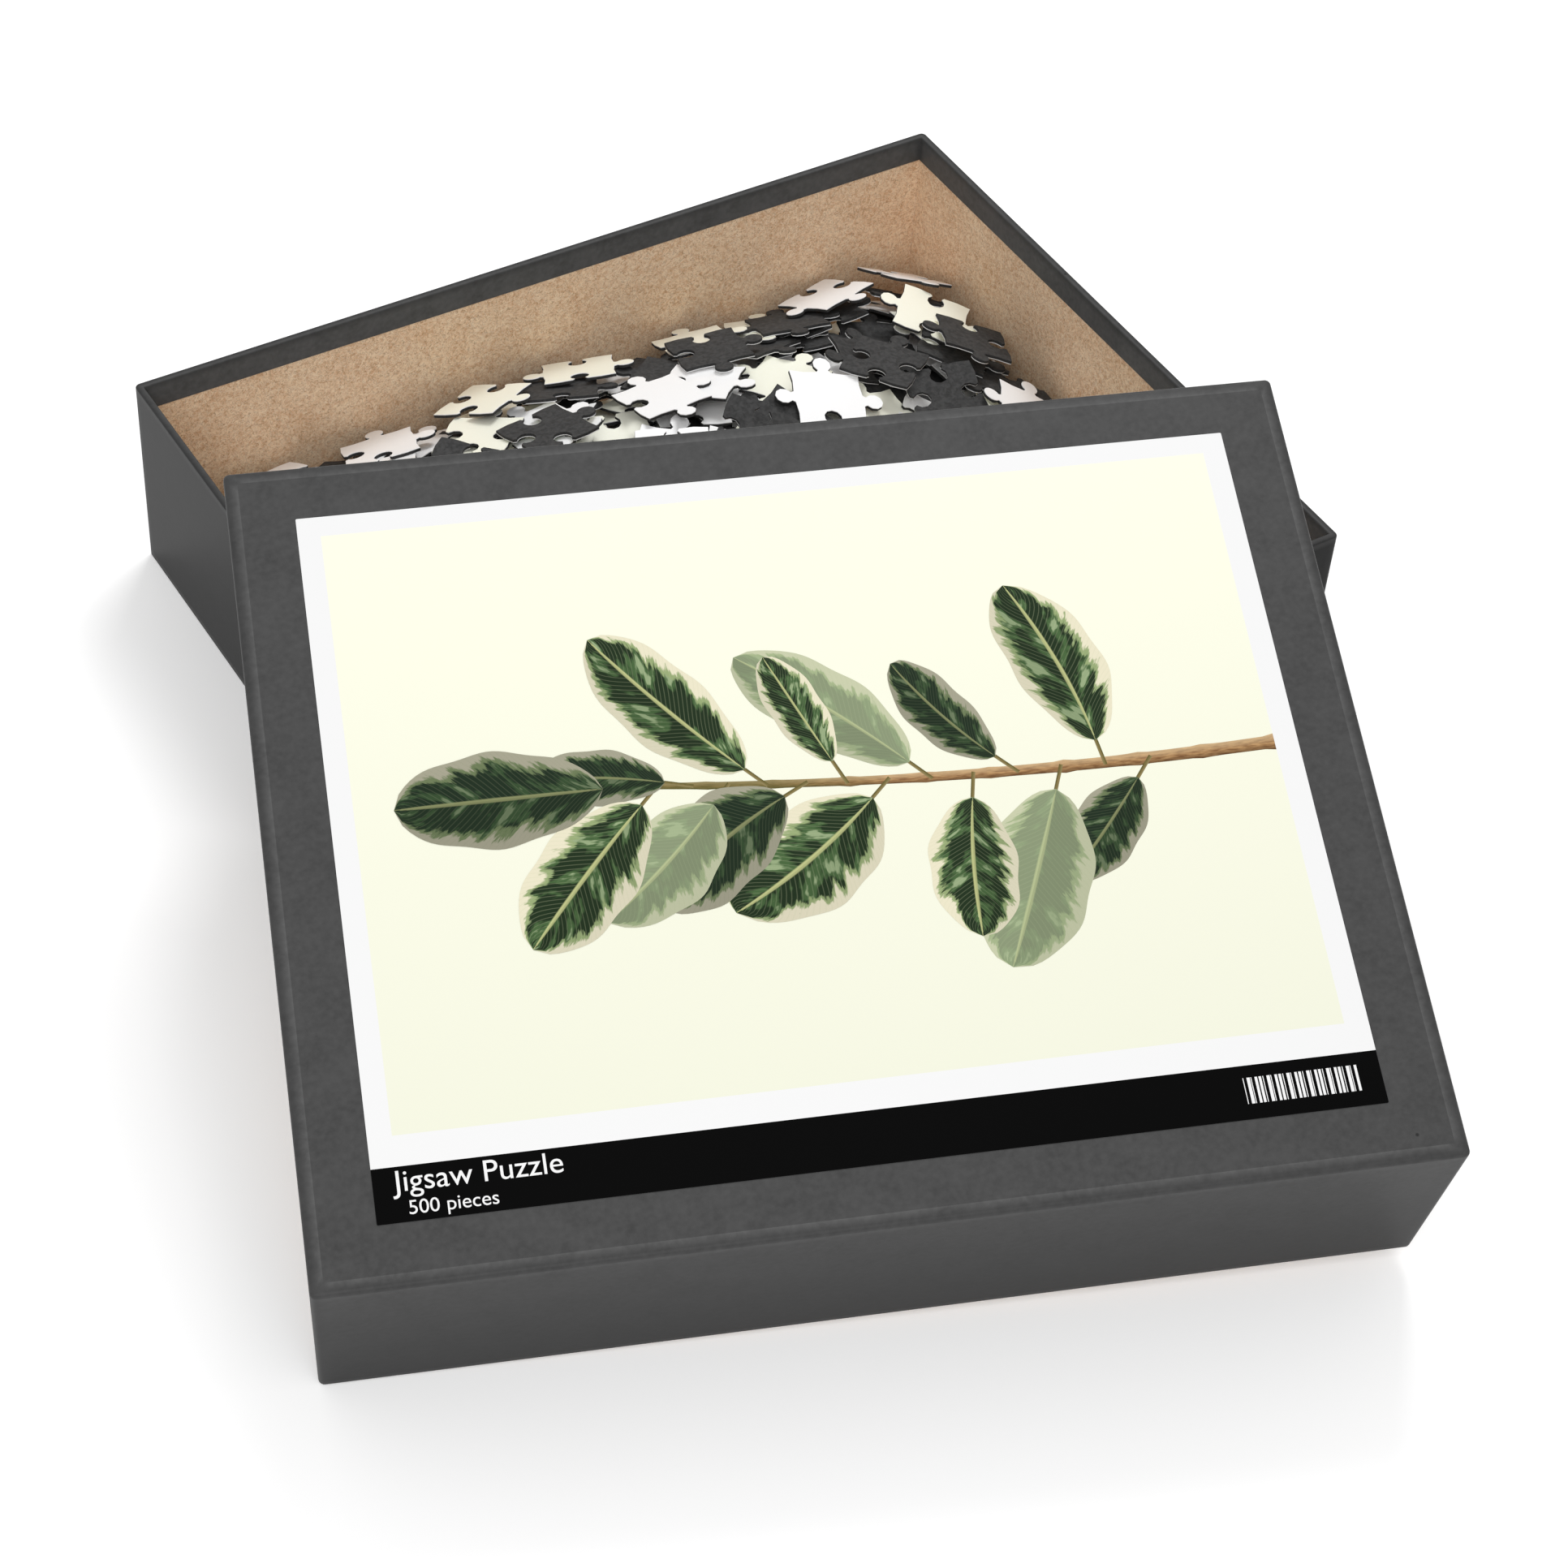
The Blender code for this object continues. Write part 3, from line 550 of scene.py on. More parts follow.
def lettering(name, words, size, at):
    """A line of words in the plain built-in face, as a flat mesh on the label."""
    curve = bpy.data.curves.new(name, "FONT")
    curve.body = words
    curve.size = size
    text = bpy.data.objects.new(name + "_curve", curve)
    bpy.context.scene.collection.objects.link(text)
    graph = bpy.context.evaluated_depsgraph_get()
    mesh = bpy.data.meshes.new_from_object(text.evaluated_get(graph))
    bpy.data.objects.remove(text)
    mesh.transform(on_label @ Matrix.Translation((*at, PRINT_LEVEL)))
    mesh.materials.clear()
    mesh.materials.append(open_ink)
    made = bpy.data.objects.new(name, mesh)
    bpy.context.scene.collection.objects.link(made)
    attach(made, "lid")


lettering("band_title", "Jigsaw Puzzle", TITLE_SIZE, TITLE_AT)
lettering("band_count", "500 pieces", COUNT_SIZE, COUNT_AT)

bar = np.arange(BAR_COUNT)
pitch = (BAR_ROW[1] - BAR_ROW[0]) / BAR_COUNT
bar_left = BAR_ROW[0] + pitch * bar
bar_width = pitch * (THINNEST_BAR + BAR_STEP * (bar * (bar + 3) % BAR_WIDTHS))
bar_x = np.stack([bar_left, bar_left + bar_width, bar_left + bar_width, bar_left], axis=1)
bar_y = np.broadcast_to([BAR_FOOT, BAR_FOOT, BAR_TOP, BAR_TOP], bar_x.shape)
bar_points = np.stack([bar_x, bar_y, np.full_like(bar_x, PRINT_LEVEL)], axis=-1)
bar_faces = np.arange(BAR_COUNT * 4).reshape(-1, 4).tolist()
bars = made_piece("band_bars", placed(bar_points, on_label), bar_faces, [open_ink])
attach(bars, "lid")

# ---------------------------------------------------------------------------------------------------
# The picture on the label: a leafy branch.
# Printed ink again. A woody stem runs in from the right, with broad leaves of dark and sage green
# edged in cream on alternate sides. From the tip back, each leaf lies a hair above the next.

STEM_RIGHT = np.array([PICTURE_HIGH[0], 92.0 * MM])
STEM_LEFT = np.array([68.0 * MM, 98.0 * MM])
STEM_SAG = 3.0 * MM
STEM_HALF = (1.7 * MM, 0.8 * MM)
STEM_ROWS = 61
STEM_KNOTS = 9
KNOT_SWELL = 0.25
KNOT_SHARPNESS = 8
PETIOLE = 6.0 * MM
PETIOLE_HALF = 0.45 * MM
LEAF_COUNT = 14
LEAF_STEP = 0.004 * MM
LEAF_ROWS = 33
LEAF_COLUMNS = 9
LEAF_FULLNESS = 2.28
VEIN_SLANT = -0.22
VEIN_STREAKS = 13.0
RIBS = 34
# Each tone of a leaf comes in between the two ends of its pair, in noise or in share of its width.
LIGHT_PATCH = (0.50, 0.56)
SAGE_PATCH = (0.60, 0.64)
SAGE_EDGE = (1.18, 1.24)
CREAM_EDGE = (1.30, 1.36)
MIDRIB = (0.03, 0.055)
# The golden ratio deals out paler and darker leaves among the rest.
LEAF_TURN = 0.618
PALE_LEAVES = (0.72, 0.74)
DARK_LEAVES = (0.24, 0.26)

leaf_ink, tree, shader = new_finish("leaf ink on satin paper", **SATIN)
spot = add(tree, "SeparateXYZ", add(tree, "UVMap", uv_map="leaf"))
along = add(tree, "Math", spot.outputs["X"], operation="FRACT")
number = add(tree, "Math", spot.outputs["X"], operation="FLOOR")
side = add(tree, "Math", spot.outputs["Y"], operation="ABSOLUTE")
half = add(tree, "Math", spot.outputs["Y"], operation="SIGN")
vein = add(tree, "Math", side, VEIN_SLANT, along, operation="MULTIPLY_ADD")
seed = add(tree, "Math", number, 3.7, half, operation="MULTIPLY_ADD")
vein_wide = add(tree, "Math", vein, VEIN_STREAKS, operation="MULTIPLY")
streak_place = add(tree, "CombineXYZ", vein_wide, side, seed)
streak = add(tree, "TexNoise", streak_place, sockets={"Scale": 1.0, "Detail": 4.0, "Roughness": 0.65})
edge = add(tree, "Math", streak, 1.1, side, operation="MULTIPLY_ADD")
patch_place = {"Location": (5.0, 2.0, 9.0), "Scale": (0.8, 1.6, 1.0)}
patch_place = add(tree, "Mapping", streak_place, sockets=patch_place)
patch = add(tree, "TexNoise", patch_place, sockets={"Scale": 1.0, "Detail": 3.0})
tone = add(tree, "MixRGB", add(tree, "MapRange", patch, *LIGHT_PATCH), colour("#1f2f1c"), colour("#45603a"))
tone = add(tree, "MixRGB", add(tree, "MapRange", patch, *SAGE_PATCH), tone, colour("#8d9f78"))
tone = add(tree, "MixRGB", add(tree, "MapRange", edge, *SAGE_EDGE), tone, colour("#8fa070"))
tone = add(tree, "MixRGB", add(tree, "MapRange", edge, *CREAM_EDGE), tone, colour("#ddd7bd"))
ribs = add(tree, "Math", vein, 2 * math.pi * RIBS, operation="MULTIPLY")
ribs = add(tree, "Math", ribs, operation="SINE")
ribs = add(tree, "MapRange", ribs, 0.7, 1.0, 0.0, 0.16)
tone = add(tree, "MixRGB", ribs, tone, colour("#b7c099"))
tone = add(tree, "MixRGB", add(tree, "MapRange", side, *MIDRIB, 0.9, 0.0), tone, colour("#b9bd84"))
turn = add(tree, "Math", number, LEAF_TURN, operation="MULTIPLY")
turn = add(tree, "Math", turn, operation="FRACT")
tone = add(tree, "MixRGB", add(tree, "MapRange", turn, *PALE_LEAVES, 0.0, 0.6), tone, colour("#a3b08c"))
tone = add(tree, "MixRGB", add(tree, "MapRange", turn, *DARK_LEAVES, 0.55, 0.0), tone, colour("#1c2a20"))
in_shade = add(tree, "MapRange", half, -1.0, 1.0, 0.0, 0.3)
tone = add(tree, "MixRGB", in_shade, tone, add(tree, "MixRGB", 0.6, tone, colour("#15200f")))
cover(tree, shader, tone)


def on_stem(share):
    """Points of the stem's middle line, from the right end at 0 to the left end at 1."""
    share = np.asarray(share)[:, None]
    return STEM_RIGHT + share * (STEM_LEFT - STEM_RIGHT) - np.array([0, STEM_SAG]) * (4 * share * (1 - share))


# Where each leaf starts, points and bends, and its size, from its number along the stem from the tip.
# The sines make the leaves differ, in angles of degrees and lengths of millimetres.
leaf_number = np.arange(LEAF_COUNT)
share = leaf_number / (LEAF_COUNT - 1)
leaf_side = np.where(leaf_number % 2, 1.0, -1.0)
leaf_side[0] = 0.0
petiole_foot = on_stem(1 - 0.80 * share ** 1.15)
leaf_angle = np.pi + leaf_side * np.radians(28 + 44 * share + 20 * np.sin(leaf_number * 2.3))
leaf_heading = np.stack([np.cos(leaf_angle), np.sin(leaf_angle)], axis=1)
leaf_root = petiole_foot + PETIOLE * leaf_heading
leaf_length = (40 + 9 * np.sin(leaf_number * 1.7 + 1.0)) * MM
leaf_half = leaf_length * (0.25 + 0.05 * np.sin(leaf_number * 2.9))
leaf_bend = 0.16 * leaf_side * np.cos(leaf_number * 1.3)


def leaf_surface(root, angle, length, half_width, bend):
    """Leaves as (leaf, along, across) points: a bent midrib with a half width on either side.

    The midrib is root + length (u along the heading + bend u squared to its left), and the half width
    is half_width times u^0.62 (1 - u)^0.55 times a number that makes its greatest value 1.
    """
    u = np.linspace(0, 1, LEAF_ROWS)[None, :, None]
    v = np.linspace(-1, 1, LEAF_COLUMNS)[None, None, :]
    heading = np.stack([np.cos(angle), np.sin(angle)], axis=1)[:, None, None]
    left = np.stack([-np.sin(angle), np.cos(angle)], axis=1)[:, None, None]
    width = half_width[:, None, None] * LEAF_FULLNESS * u ** 0.62 * (1 - u) ** 0.55
    ripple = 1 + 0.04 * np.sin(17 * u + root[:, 0][:, None, None] / MM)
    ahead = length[:, None, None] * u
    aside = length[:, None, None] * bend[:, None, None] * u ** 2 + width * ripple * v
    ground = root[:, None, None] + ahead[..., None] * heading + aside[..., None] * left
    lift = PRINT_LEVEL + LEAF_STEP * (2 + LEAF_COUNT - np.arange(len(root)))[:, None, None]
    lift = np.broadcast_to(lift, ground.shape[:3])[..., None]
    places = np.broadcast_to(np.arange(len(root))[:, None, None] + 0.01 + 0.98 * u, lift.shape[:3])
    across = np.broadcast_to(v, lift.shape[:3])
    return np.concatenate([ground, lift], axis=-1), np.stack([places, across], axis=-1)


def strip_faces(strips, rows, columns):
    """Quads between the points of several open grids of the same size."""
    counts = (np.arange(strips), np.arange(rows - 1), np.arange(columns - 1))
    grid, row, column = np.meshgrid(*counts, indexing="ij")
    first = (grid * rows * columns + row * columns + column).ravel()
    return np.stack([first, first + columns, first + columns + 1, first + 1], axis=1)


def face_up(made):
    """Joins points that meet, and turns the faces of a flat print to look out of the lid."""
    shape = bmesh.new()
    shape.from_mesh(made.data)
    bmesh.ops.remove_doubles(shape, verts=shape.verts, dist=0.001 * MM)
    outward = (lean.to_3x3() @ Vector((0, 0, 1))).normalized()
    shape.normal_update()
    wrong = [face for face in shape.faces if face.normal.dot(outward) < 0]
    bmesh.ops.reverse_faces(shape, faces=wrong)
    shape.to_mesh(made.data)
    shape.free()


leaf_points, leaf_places = leaf_surface(leaf_root, leaf_angle, leaf_length, leaf_half, leaf_bend)
leaf_faces = strip_faces(LEAF_COUNT, LEAF_ROWS, LEAF_COLUMNS).tolist()
leaves = made_piece("label_leaves", placed(leaf_points, on_label), leaf_faces, [leaf_ink])
lay_map(leaves, "leaf", leaf_places.reshape(-1, 2))
face_up(leaves)
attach(leaves, "lid")

BARK_RING = 9.0 * MM
YOUNG_STEM = (90.0 * MM, 120.0 * MM)

bark_ink, tree, shader = new_finish("stem ink on satin paper", **SATIN)
spot = add(tree, "UVMap", uv_map="stem")
fine = add(tree, "Mapping", spot, sockets={"Scale": (1 / BARK_RING, 1.0, 1.0)})
grain = add(tree, "TexNoise", fine, sockets={"Scale": 3.0, "Detail": 4.0})
spot = add(tree, "SeparateXYZ", spot)
length, across = spot.outputs["X"], spot.outputs["Y"]
tone = add(tree, "MixRGB", add(tree, "MapRange", grain, *NOISE_SPAN), colour("#7a5636"), colour("#b08a5e"))
tone = add(tree, "MixRGB", add(tree, "MapRange", across, -0.2, 1.0, 0.0, 0.6), tone, colour("#d8bd94"))
tone = add(tree, "MixRGB", add(tree, "MapRange", across, -0.2, -1.0, 0.0, 0.7), tone, colour("#3e2a18"))
tone = add(tree, "MixRGB", add(tree, "MapRange", length, *YOUNG_STEM, 0.0, 0.6), tone, colour("#4c5a2a"))
cover(tree, shader, tone)

u = np.linspace(0, 1, STEM_ROWS)[:, None]
middle = on_stem(u[:, 0])
half_width = STEM_HALF[0] + (STEM_HALF[1] - STEM_HALF[0]) * u
knots = np.maximum(np.cos(u * 2 * math.pi * STEM_KNOTS), 0) ** KNOT_SHARPNESS
half_width = half_width * (1 + KNOT_SWELL * knots)
v = np.linspace(-1, 1, 3)
stem_xy = middle[:, None] + v[None, :, None] * half_width[:, None] * np.array([0, 1])
stem_z = np.full((*stem_xy.shape[:2], 1), PRINT_LEVEL + LEAF_STEP * 0.5)
stem_points = placed(np.concatenate([stem_xy, stem_z], axis=2), on_label)
stem = made_piece("label_stem", stem_points, strip_faces(1, STEM_ROWS, 3).tolist(), [bark_ink])
length_along = np.broadcast_to(u * np.linalg.norm(STEM_LEFT - STEM_RIGHT), stem_xy.shape[:2])
across_stem = np.broadcast_to(v, stem_xy.shape[:2])
lay_map(stem, "stem", np.stack([length_along, across_stem], axis=-1).reshape(-1, 2))
face_up(stem)
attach(stem, "lid")

beside = np.stack([-leaf_heading[:, 1], leaf_heading[:, 0]], axis=1)
ahead = np.linspace(-0.1, 1.1, 3)[None, :, None, None] * PETIOLE * leaf_heading[:, None, None]
aside = v[None, None, :, None] * PETIOLE_HALF * beside[:, None, None]
petiole_xy = petiole_foot[:, None, None] + ahead + aside
petiole_z = np.full((*petiole_xy.shape[:3], 1), PRINT_LEVEL + LEAF_STEP)
petiole_points = placed(np.concatenate([petiole_xy, petiole_z], axis=3), on_label)
petioles = made_piece("label_petioles", petiole_points, strip_faces(LEAF_COUNT, 3, 3).tolist(), [bark_ink])
petiole_x = petiole_xy[..., 0] * 3
across_petiole = np.broadcast_to(v, petiole_x.shape)
lay_map(petioles, "stem", np.stack([petiole_x, across_petiole], axis=-1).reshape(-1, 2))
face_up(petioles)
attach(petioles, "lid")

# ---------------------------------------------------------------------------------------------------
# The jigsaw pieces.
# Die-cut from 1 mm grey-black chipboard with the printed sheet laminated on it, 20 x 25 of them to a
# 16 x 20 inch picture. They are dropped in one by one, each to lie on what is there already.

PIECE_PITCH = 20.32 * MM
PIECE_THICKNESS = 1.0 * MM
PIECE_COUNT = 500
TOP_PIECES = 26
EDGE_PIECES = 0.17
FACE_UP = 0.66
HEAD_RADIUS = 0.13
HEAD_CENTRE = 0.15
NECK = 0.40
SHOULDER_BOW = 0.018
HEAD_START = math.radians(-125)
HEAD_END = math.radians(-415)
HEAD_POINTS = 7
BELOW_HEAD_POINTS = 9
TOP_HEAD_POINTS = 15


def side_line(sign, head_points):
    """One side of a unit piece from (0, 0) to (1, 0): a round knob or socket on a neck, or straight."""
    head = np.linspace(HEAD_START, HEAD_END, head_points)
    head = np.stack([0.5 + HEAD_RADIUS * np.cos(head), HEAD_CENTRE + HEAD_RADIUS * np.sin(head)], axis=1)
    before = np.array([[0.0, 0.0], [NECK / 2, -SHOULDER_BOW], [NECK, 0.0]])
    after = np.array([[1 - NECK, 0.0], [1 - NECK / 2, -SHOULDER_BOW]])
    line = np.concatenate([before, head, after])
    if sign == 0:
        along = np.arange(len(line)) / len(line)
        return np.stack([along, np.zeros(len(line))], axis=1)
    return line * [1, -sign]


def rotated(points, angle):
    """Points in a plane turned about its origin."""
    turn = np.array([[math.cos(angle), -math.sin(angle)], [math.sin(angle), math.cos(angle)]])
    return points @ turn.T


def piece_outline(signs, yaw, head_points=HEAD_POINTS):
    """The closed outline of a turned piece about its centre; each sign is knob, socket or straight."""
    sides = []
    for quarter, sign in enumerate(signs):
        sides.append(rotated(side_line(sign, head_points) - 0.5, quarter * math.pi / 2))
    return rotated(np.concatenate(sides) * PIECE_PITCH, yaw)


# The height field on which the pieces are stacked, in cells of one millimetre. The CAD's pieces are
# stacked by the same rule from the same seed, so each piece lies where its CAD piece is.
CELL = 1.0 * MM
CELLS_X = int((2 * tray_half_x - 2 * WALL) / CELL)
CELLS_Y = int((2 * tray_half_y - 2 * WALL) / CELL)
FLOOR = 2.0 * MM
MOUND_FOOT = 6.0 * MM
MOUND_RISE = 24.0 * MM
MOUND_AT = (0.0 * MM, 44.0 * MM)
MOUND_SPREAD = (135.0 * MM, 52.0 * MM)
PIECE_GAP = 0.15 * MM
STEEPEST = 0.48
SLOPE_STEPS = (7, 5, 5)
HULL_DIRECTIONS = 24
LEVEL_EDGE = 1e-12
TRIES = 36
TOP_TRIES = 288
KEPT_TRIES = 7
TOP_CLEARANCE = 1
LID_CLEARANCE = 3.0 * MM
SEED = 20


def hull_covers(outline, x, y):
    """Which points lie inside the outline's convex hull, taken as the meet of half planes."""
    angles = np.linspace(0, 2 * math.pi, HULL_DIRECTIONS, endpoint=False)
    normals = np.stack([np.cos(angles), np.sin(angles)], axis=1)
    limits = (outline @ normals.T).max(axis=0)
    return np.all(x[..., None] * normals[:, 0] + y[..., None] * normals[:, 1] < limits, axis=-1)


def outline_covers(outline, x, y):
    """Which points lie inside the outline, by counting the edges that a ray towards +X crosses."""
    start = outline
    end = np.roll(outline, -1, axis=0)
    crosses = (start[:, 1] > y[..., None]) != (end[:, 1] > y[..., None])
    rise = end[:, 1] - start[:, 1]
    rise = np.where(np.abs(rise) < LEVEL_EDGE, LEVEL_EDGE, rise)
    where = start[:, 0] + (y[..., None] - start[:, 1]) / rise * (end[:, 0] - start[:, 0])
    return (np.sum(crosses & (x[..., None] < where), axis=-1) % 2) == 1


def footprint(outline, whole_hull):
    """The cells, as offsets from the piece's own cell, that the outline covers with a cell to spare."""
    reach = int(np.abs(outline).max() / CELL) + 3
    steps = np.arange(-reach, reach + 1)
    grid_x, grid_y = np.meshgrid(steps, steps, indexing="ij")
    covers = hull_covers if whole_hull else outline_covers
    inside = covers(outline, grid_x * CELL, grid_y * CELL)
    grown = inside.copy()
    grown[1:] |= inside[:-1]
    grown[:-1] |= inside[1:]
    grown[:, 1:] |= inside[:, :-1]
    grown[:, :-1] |= inside[:, 1:]
    return np.stack([grid_x[grown], grid_y[grown]], axis=1)


def resting_plane(heights, cells, offsets):
    """The lowest plane that clears every cell: its height over the piece's own cell, and two slopes."""
    column = heights[cells[:, 0], cells[:, 1]]
    span = STEEPEST
    best = (0.0, 0.0)
    for steps in SLOPE_STEPS:
        slopes = np.linspace(-span, span, steps)
        slope_x, slope_y = np.meshgrid(slopes + best[0], slopes + best[1], indexing="ij")
        slope_x = np.clip(slope_x.ravel(), -STEEPEST, STEEPEST)
        slope_y = np.clip(slope_y.ravel(), -STEEPEST, STEEPEST)
        lifts = column - (slope_x[:, None] * offsets[:, 0] + slope_y[:, None] * offsets[:, 1]) * CELL
        needed = lifts.max(axis=1)
        pick = int(np.argmin(needed))
        best = (float(slope_x[pick]), float(slope_y[pick]))
        level = float(needed[pick])
        span /= 3
    return level, best


def cell_centre(cell_x, cell_y):
    """Where a cell's middle is, in metres."""
    return (cell_x - CELLS_X / 2 + 0.5) * CELL, (cell_y - CELLS_Y / 2 + 0.5) * CELL


def lid_covers():
    """Which cells of the tray the leaning lid stands over, with some room round them."""
    half_x = LID_LENGTH / 2
    half_y = LID_WIDTH / 2
    back_left = lean @ Vector((-half_x, half_y, 0))
    back_right = lean @ Vector((half_x, half_y, 0))
    front_right = lean @ Vector((half_x, -half_y, 0))
    x, y = cell_centre(np.arange(CELLS_X)[:, None], np.arange(CELLS_Y)[None, :])
    covered = np.ones((CELLS_X, CELLS_Y), bool)
    for a, b in ((back_left, back_right), (back_right, front_right)):
        along = Vector((b.x - a.x, b.y - a.y)).normalized()
        beyond = (x - a.x) * -along.y + (y - a.y) * along.x
        covered &= beyond < LID_CLEARANCE
    return covered


def mound(x, y):
    """The height that the heap of pieces aims at, highest about one point."""
    away = ((x - MOUND_AT[0]) / MOUND_SPREAD[0]) ** 2 + ((y - MOUND_AT[1]) / MOUND_SPREAD[1]) ** 2
    return MOUND_FOOT + MOUND_RISE * np.exp(-away)


def draw_piece(draw):
    """A random piece: its four sides, its turn, and whether its print is up."""
    signs = draw.choice((-1, 1), 4)
    if draw.random() < EDGE_PIECES:
        signs[draw.integers(4)] = 0
    return signs, draw.uniform(0, 2 * math.pi), draw.random() < FACE_UP


def draw_places(draw, offsets, tries, taken):
    """Random cells where the whole footprint is inside the tray and on no taken cell."""
    low = -offsets.min(axis=0)
    high = np.array([CELLS_X, CELLS_Y]) - 1 - offsets.max(axis=0)
    found = draw.integers(low, high + 1, (tries, 2))
    cells = found[:, None, :] + offsets
    return found[~taken[cells[..., 0], cells[..., 1]].any(axis=1)]


def lowest_rest(heights, offsets, tries):
    """The tried place where the piece lies lowest against the mound: level, slopes, centre and cells."""
    x, y = cell_centre(tries[:, 0], tries[:, 1])
    order = np.argsort(heights[tries[:, 0], tries[:, 1]] - mound(x, y), kind="stable")
    found = []
    for pick in order[:KEPT_TRIES]:
        cells = tries[pick] + offsets
        level, slopes = resting_plane(heights, cells, offsets)
        excess = level - float(mound(x[pick], y[pick]))
        found.append((excess, level, slopes, (float(x[pick]), float(y[pick])), cells))
    return min(found, key=lambda rest: rest[0])[1:]


def spread(cells, room):
    """The cells, and those up to some cells away from them, within the tray."""
    shifts = np.arange(-room, room + 1)
    shift_x, shift_y = np.meshgrid(shifts, shifts, indexing="ij")
    wide = cells[:, None, :] + np.stack([shift_x.ravel(), shift_y.ravel()], axis=1)
    return np.clip(wide.reshape(-1, 2), 0, (CELLS_X - 1, CELLS_Y - 1))


def stack_pieces():
    """Drops the pieces into the tray, each on what lies there: (signs, yaw, place, slopes, face_up)."""
    draw = np.random.default_rng(SEED)
    heights = np.full((CELLS_X, CELLS_Y), FLOOR)
    taken = np.zeros((CELLS_X, CELLS_Y), bool)
    laid = []
    while len(laid) < PIECE_COUNT:
        on_top = len(laid) >= PIECE_COUNT - TOP_PIECES
        if len(laid) == PIECE_COUNT - TOP_PIECES and not taken.any():
            taken = lid_covers()
        signs, yaw, face_up = draw_piece(draw)
        offsets = footprint(piece_outline(signs, yaw), on_top)
        tries = draw_places(draw, offsets, TOP_TRIES if on_top else TRIES, taken)
        if not len(tries):
            continue
        level, slopes, centre, cells = lowest_rest(heights, offsets, tries)
        bottom = level + (offsets[:, 0] * slopes[0] + offsets[:, 1] * slopes[1]) * CELL
        top = bottom + PIECE_THICKNESS * math.hypot(1, *slopes) + PIECE_GAP
        heights[cells[:, 0], cells[:, 1]] = np.maximum(heights[cells[:, 0], cells[:, 1]], top)
        if on_top:
            near = spread(cells, TOP_CLEARANCE)
            taken[near[:, 0], near[:, 1]] = True
        laid.append((tuple(int(sign) for sign in signs), yaw, (*centre, level), slopes, face_up))
    return laid


def lying(slopes, place_at):
    """The placing of a flat piece on a plane of these slopes through this point."""
    normal = Vector((-slopes[0], -slopes[1], 1)).normalized()
    turn = Vector((0, 0, 1)).rotation_difference(normal).to_matrix().to_4x4()
    return Matrix.Translation(Vector(place_at)) @ turn


# The finishes of a piece: its print, which is white, cream or leafy, its bare back and its cut edge.
BACK_MOTTLE = 1.3 * MM
BOARD_LAYER = 0.15 * MM
PRINT_SHEET = 0.78
WHITE_PRINTS = 0.62
CREAM_PRINTS = 0.33
LEAF_PRINT_LENGTH = 46.0 * MM
LEAF_PRINT_HALF = 11.0 * MM
KIND_SEED = 4


def plain_print(name, low, high):
    """Coated paper with one ink: two near tones, and the faint tooth that takes the gloss off it."""
    made, tree, shader = new_finish(name, roughness=0.4, ior=1.5)
    place = add(tree, "TexCoord").outputs["Object"]
    tooth = add(tree, "TexNoise", place, sockets={"Scale": 1 / PAPER_TOOTH, "Detail": 2.0})
    tone = add(tree, "MixRGB", tooth, colour(low), colour(high))
    cover(tree, shader, tone, tooth, strength=0.05, depth=TOOTH_DEPTH)
    return made


white_print = plain_print("white print on coated paper", "#fafafa", "#ffffff")
cream_print = plain_print("cream print on coated paper", "#fbfbe8", "#fffff2")

leaf_print, tree, shader = new_finish("leaf print on coated paper", roughness=0.4, ior=1.5)
spot = add(tree, "SeparateXYZ", add(tree, "UVMap", uv_map="cut"))
along = add(tree, "Math", spot.outputs["X"], LEAF_PRINT_LENGTH, operation="DIVIDE")
square = add(tree, "Math", along, along, operation="MULTIPLY")
width = add(tree, "Math", square, -4 * LEAF_PRINT_HALF, LEAF_PRINT_HALF, operation="MULTIPLY_ADD")
aside = add(tree, "Math", spot.outputs["Y"], operation="ABSOLUTE")
side = add(tree, "Math", aside, width, operation="DIVIDE")
vein = add(tree, "Math", side, -0.2, along, operation="MULTIPLY_ADD")
vein_wide = add(tree, "Math", vein, 14.0, operation="MULTIPLY")
streak_place = add(tree, "CombineXYZ", vein_wide, side, 1.0)
streak = add(tree, "TexNoise", streak_place, sockets={"Scale": 1.0, "Detail": 4.0})
edge = add(tree, "Math", streak, side, operation="ADD")
tone = add(tree, "MixRGB", add(tree, "MapRange", streak, 0.42, 0.55), colour("#2c3f22"), colour("#6d8a55"))
tone = add(tree, "MixRGB", add(tree, "MapRange", edge, 1.20, 1.28), tone, colour("#d9d6b4"))
tone = add(tree, "MixRGB", add(tree, "MapRange", side, 0.03, 0.06, 0.9, 0.0), tone, colour("#c3c590"))
tone = add(tree, "MixRGB", add(tree, "MapRange", side, 0.97, 1.0), tone, colour("#fbfbea"))
past_tip = add(tree, "Math", width, 0.0, operation="LESS_THAN")
cover(tree, shader, add(tree, "MixRGB", past_tip, tone, colour("#fbfbea")))

bare_back, tree, shader = new_finish("bare grey-black chipboard", roughness=0.85, ior=1.5)
place = add(tree, "TexCoord").outputs["Object"]
mottle = add(tree, "TexNoise", place, sockets={"Scale": 1 / BACK_MOTTLE, "Detail": 4.0, "Distortion": 0.6})
tone = add(tree, "MixRGB", add(tree, "MapRange", mottle, *NOISE_SPAN), colour("#2a2a2a"), colour("#3f3f3f"))
cover(tree, shader, tone, mottle, strength=0.3, depth=0.05 * MM)

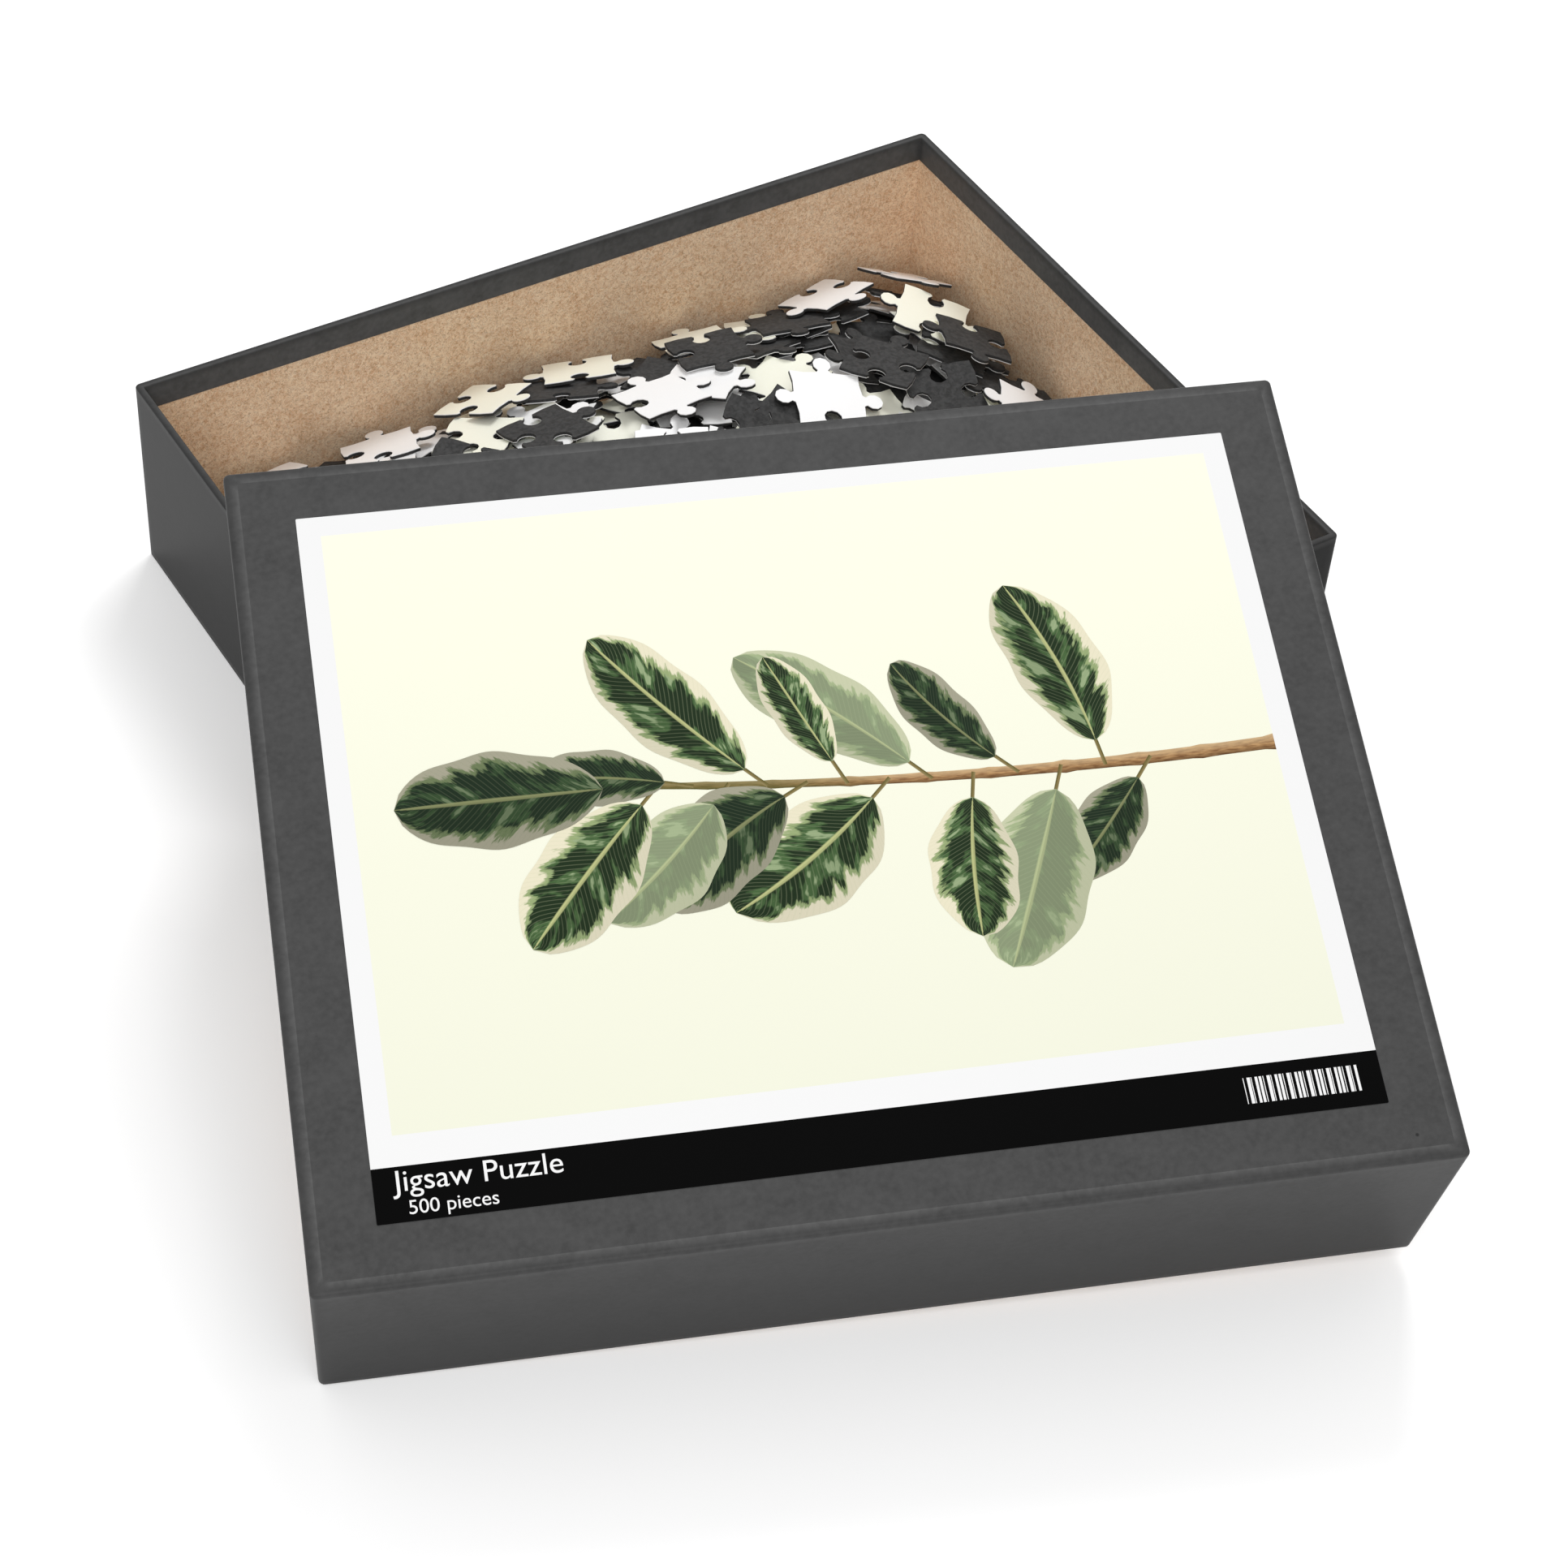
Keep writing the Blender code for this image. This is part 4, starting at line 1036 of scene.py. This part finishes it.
cut_edge, tree, shader = new_finish("die-cut chipboard edge", roughness=0.9, ior=1.5)
spot = add(tree, "UVMap", uv_map="cut")
thick = add(tree, "Mapping", spot, sockets={"Scale": (0.25 / BOARD_LAYER, 6.0, 1.0)})
layers = add(tree, "TexNoise", thick, sockets={"Scale": 1.0, "Detail": 3.0})
tone = add(tree, "MixRGB", add(tree, "MapRange", layers, *NOISE_SPAN), colour("#1f1f1f"), colour("#3a3a3a"))
level = add(tree, "SeparateXYZ", spot).outputs["Y"]
in_sheet = add(tree, "MapRange", level, PRINT_SHEET - 0.02, PRINT_SHEET + 0.02)
cover(tree, shader, add(tree, "MixRGB", in_sheet, tone, colour("#f0f0f0")))

PIECE_FINISHES = [cut_edge, bare_back, white_print, cream_print, leaf_print]
BACK_FINISH = 1
FIRST_PRINT = 2
PICTURE_SHIFT = (9.0 * MM, 5.0 * MM)


def cut_pieces(name, pieces, kinds, head_points, rings):
    """Pieces in one mesh: each outline carried through rings of (inset, height), closed by two faces.

    A ring point is the outline's point less the inset along the outline's own normal there. The map
    gives an edge its length along the outline and its share of the thickness from back to print, and
    gives a face its place on the picture.
    """
    flat = np.array([piece_outline(signs, 0.0, head_points) for signs, *_ in pieces])
    yaw = np.array([piece[1] for piece in pieces])
    placings = np.array([lying(piece[3], piece[2]) for piece in pieces])
    is_up = np.array([piece[4] for piece in pieces])
    count, ring_points = flat.shape[:2]
    inset, height = np.array(rings).T
    tangent = np.roll(flat, -1, axis=1) - np.roll(flat, 1, axis=1)
    normal = np.stack([tangent[..., 1], -tangent[..., 0]], axis=-1)
    normal /= np.linalg.norm(normal, axis=-1, keepdims=True)
    xy = flat[:, None] - inset[None, :, None, None] * normal[:, None]
    turn = np.stack([np.cos(yaw), -np.sin(yaw), np.sin(yaw), np.cos(yaw)], axis=1).reshape(-1, 2, 2)
    xy = np.einsum("nij,nkpj->nkpi", turn, xy)
    z = np.broadcast_to(height[None, :, None, None], (*xy.shape[:3], 1))
    local = np.concatenate([xy, z], axis=-1)
    points = np.einsum("nij,nkpj->nkpi", placings[:, :3, :3], local) + placings[:, None, None, :3, 3]

    level, point = np.meshgrid(np.arange(len(rings) - 1), np.arange(ring_points), indexing="ij")
    level, point = level.ravel(), point.ravel()
    after = (point + 1) % ring_points
    one = np.stack([level * ring_points + point, level * ring_points + after,
                    (level + 1) * ring_points + after, (level + 1) * ring_points + point], axis=1)
    first = (np.arange(count) * len(rings) * ring_points)[:, None, None]
    quads = (first + one).reshape(-1, 4)
    ring = np.arange(ring_points)
    bottoms = first[:, 0] + ring[::-1]
    tops = first[:, 0] + (len(rings) - 1) * ring_points + ring
    faces = quads.tolist() + bottoms.tolist() + tops.tolist()
    made = made_piece(name, points, faces, PIECE_FINISHES)

    finish_of = FIRST_PRINT + kinds
    index = np.zeros(len(faces), np.int32)
    index[len(quads):len(quads) + count] = np.where(is_up, BACK_FINISH, finish_of)
    index[len(quads) + count:] = np.where(is_up, finish_of, BACK_FINISH)
    made.data.polygons.foreach_set("material_index", index)

    step = np.linalg.norm(np.roll(flat, -1, axis=1) - flat, axis=-1)
    along = np.concatenate([np.zeros((count, 1)), np.cumsum(step, axis=1)], axis=1)
    share = height / PIECE_THICKNESS
    share = np.where(is_up[:, None], share, 1 - share)
    along_of = np.stack([point, point + 1, point + 1, point], axis=1)
    level_of = np.stack([level, level, level + 1, level + 1], axis=1)
    edge_map = np.stack([along[:, along_of], share[:, level_of]], axis=-1)
    picture = flat + np.sin(yaw * 7)[:, None, None] * np.array(PICTURE_SHIFT)
    layer = made.data.uv_layers.new(name="cut")
    faces_map = [picture[:, ::-1].reshape(-1, 2), picture.reshape(-1, 2)]
    places = np.concatenate([edge_map.reshape(-1, 2), *faces_map])
    layer.data.foreach_set("uv", places.astype(np.float32).ravel())
    return made


laid = stack_pieces()
kind_draw = np.random.default_rng(KIND_SEED).random(PIECE_COUNT)
kinds = np.searchsorted([WHITE_PRINTS, WHITE_PRINTS + CREAM_PRINTS], kind_draw)
BELOW = PIECE_COUNT - TOP_PIECES
PLAIN_RINGS = [(0.0, 0.0), (0.0, PIECE_THICKNESS)]
# A piece on top also shows how the die rounds the edge of its upper side.
ROUND_RINGS = [(0.0, 0.0), (0.0, 0.88 * PIECE_THICKNESS),
               (0.04 * MM, 0.96 * PIECE_THICKNESS), (0.12 * MM, PIECE_THICKNESS)]

pieces_below = cut_pieces("jigsaw_pieces_below", laid[:BELOW], kinds[:BELOW], BELOW_HEAD_POINTS, PLAIN_RINGS)
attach(pieces_below, "tray")
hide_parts("loose_pieces_below")
for number in range(1, TOP_PIECES + 1):
    at = BELOW + number - 1
    top_name = f"jigsaw_piece_on_top_{number:02d}"
    piece = cut_pieces(top_name, laid[at:at + 1], kinds[at:at + 1], TOP_HEAD_POINTS, ROUND_RINGS)
    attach(piece, f"piece_{number:02d}")
    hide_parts(f"jigsaw_piece_{number:02d}")
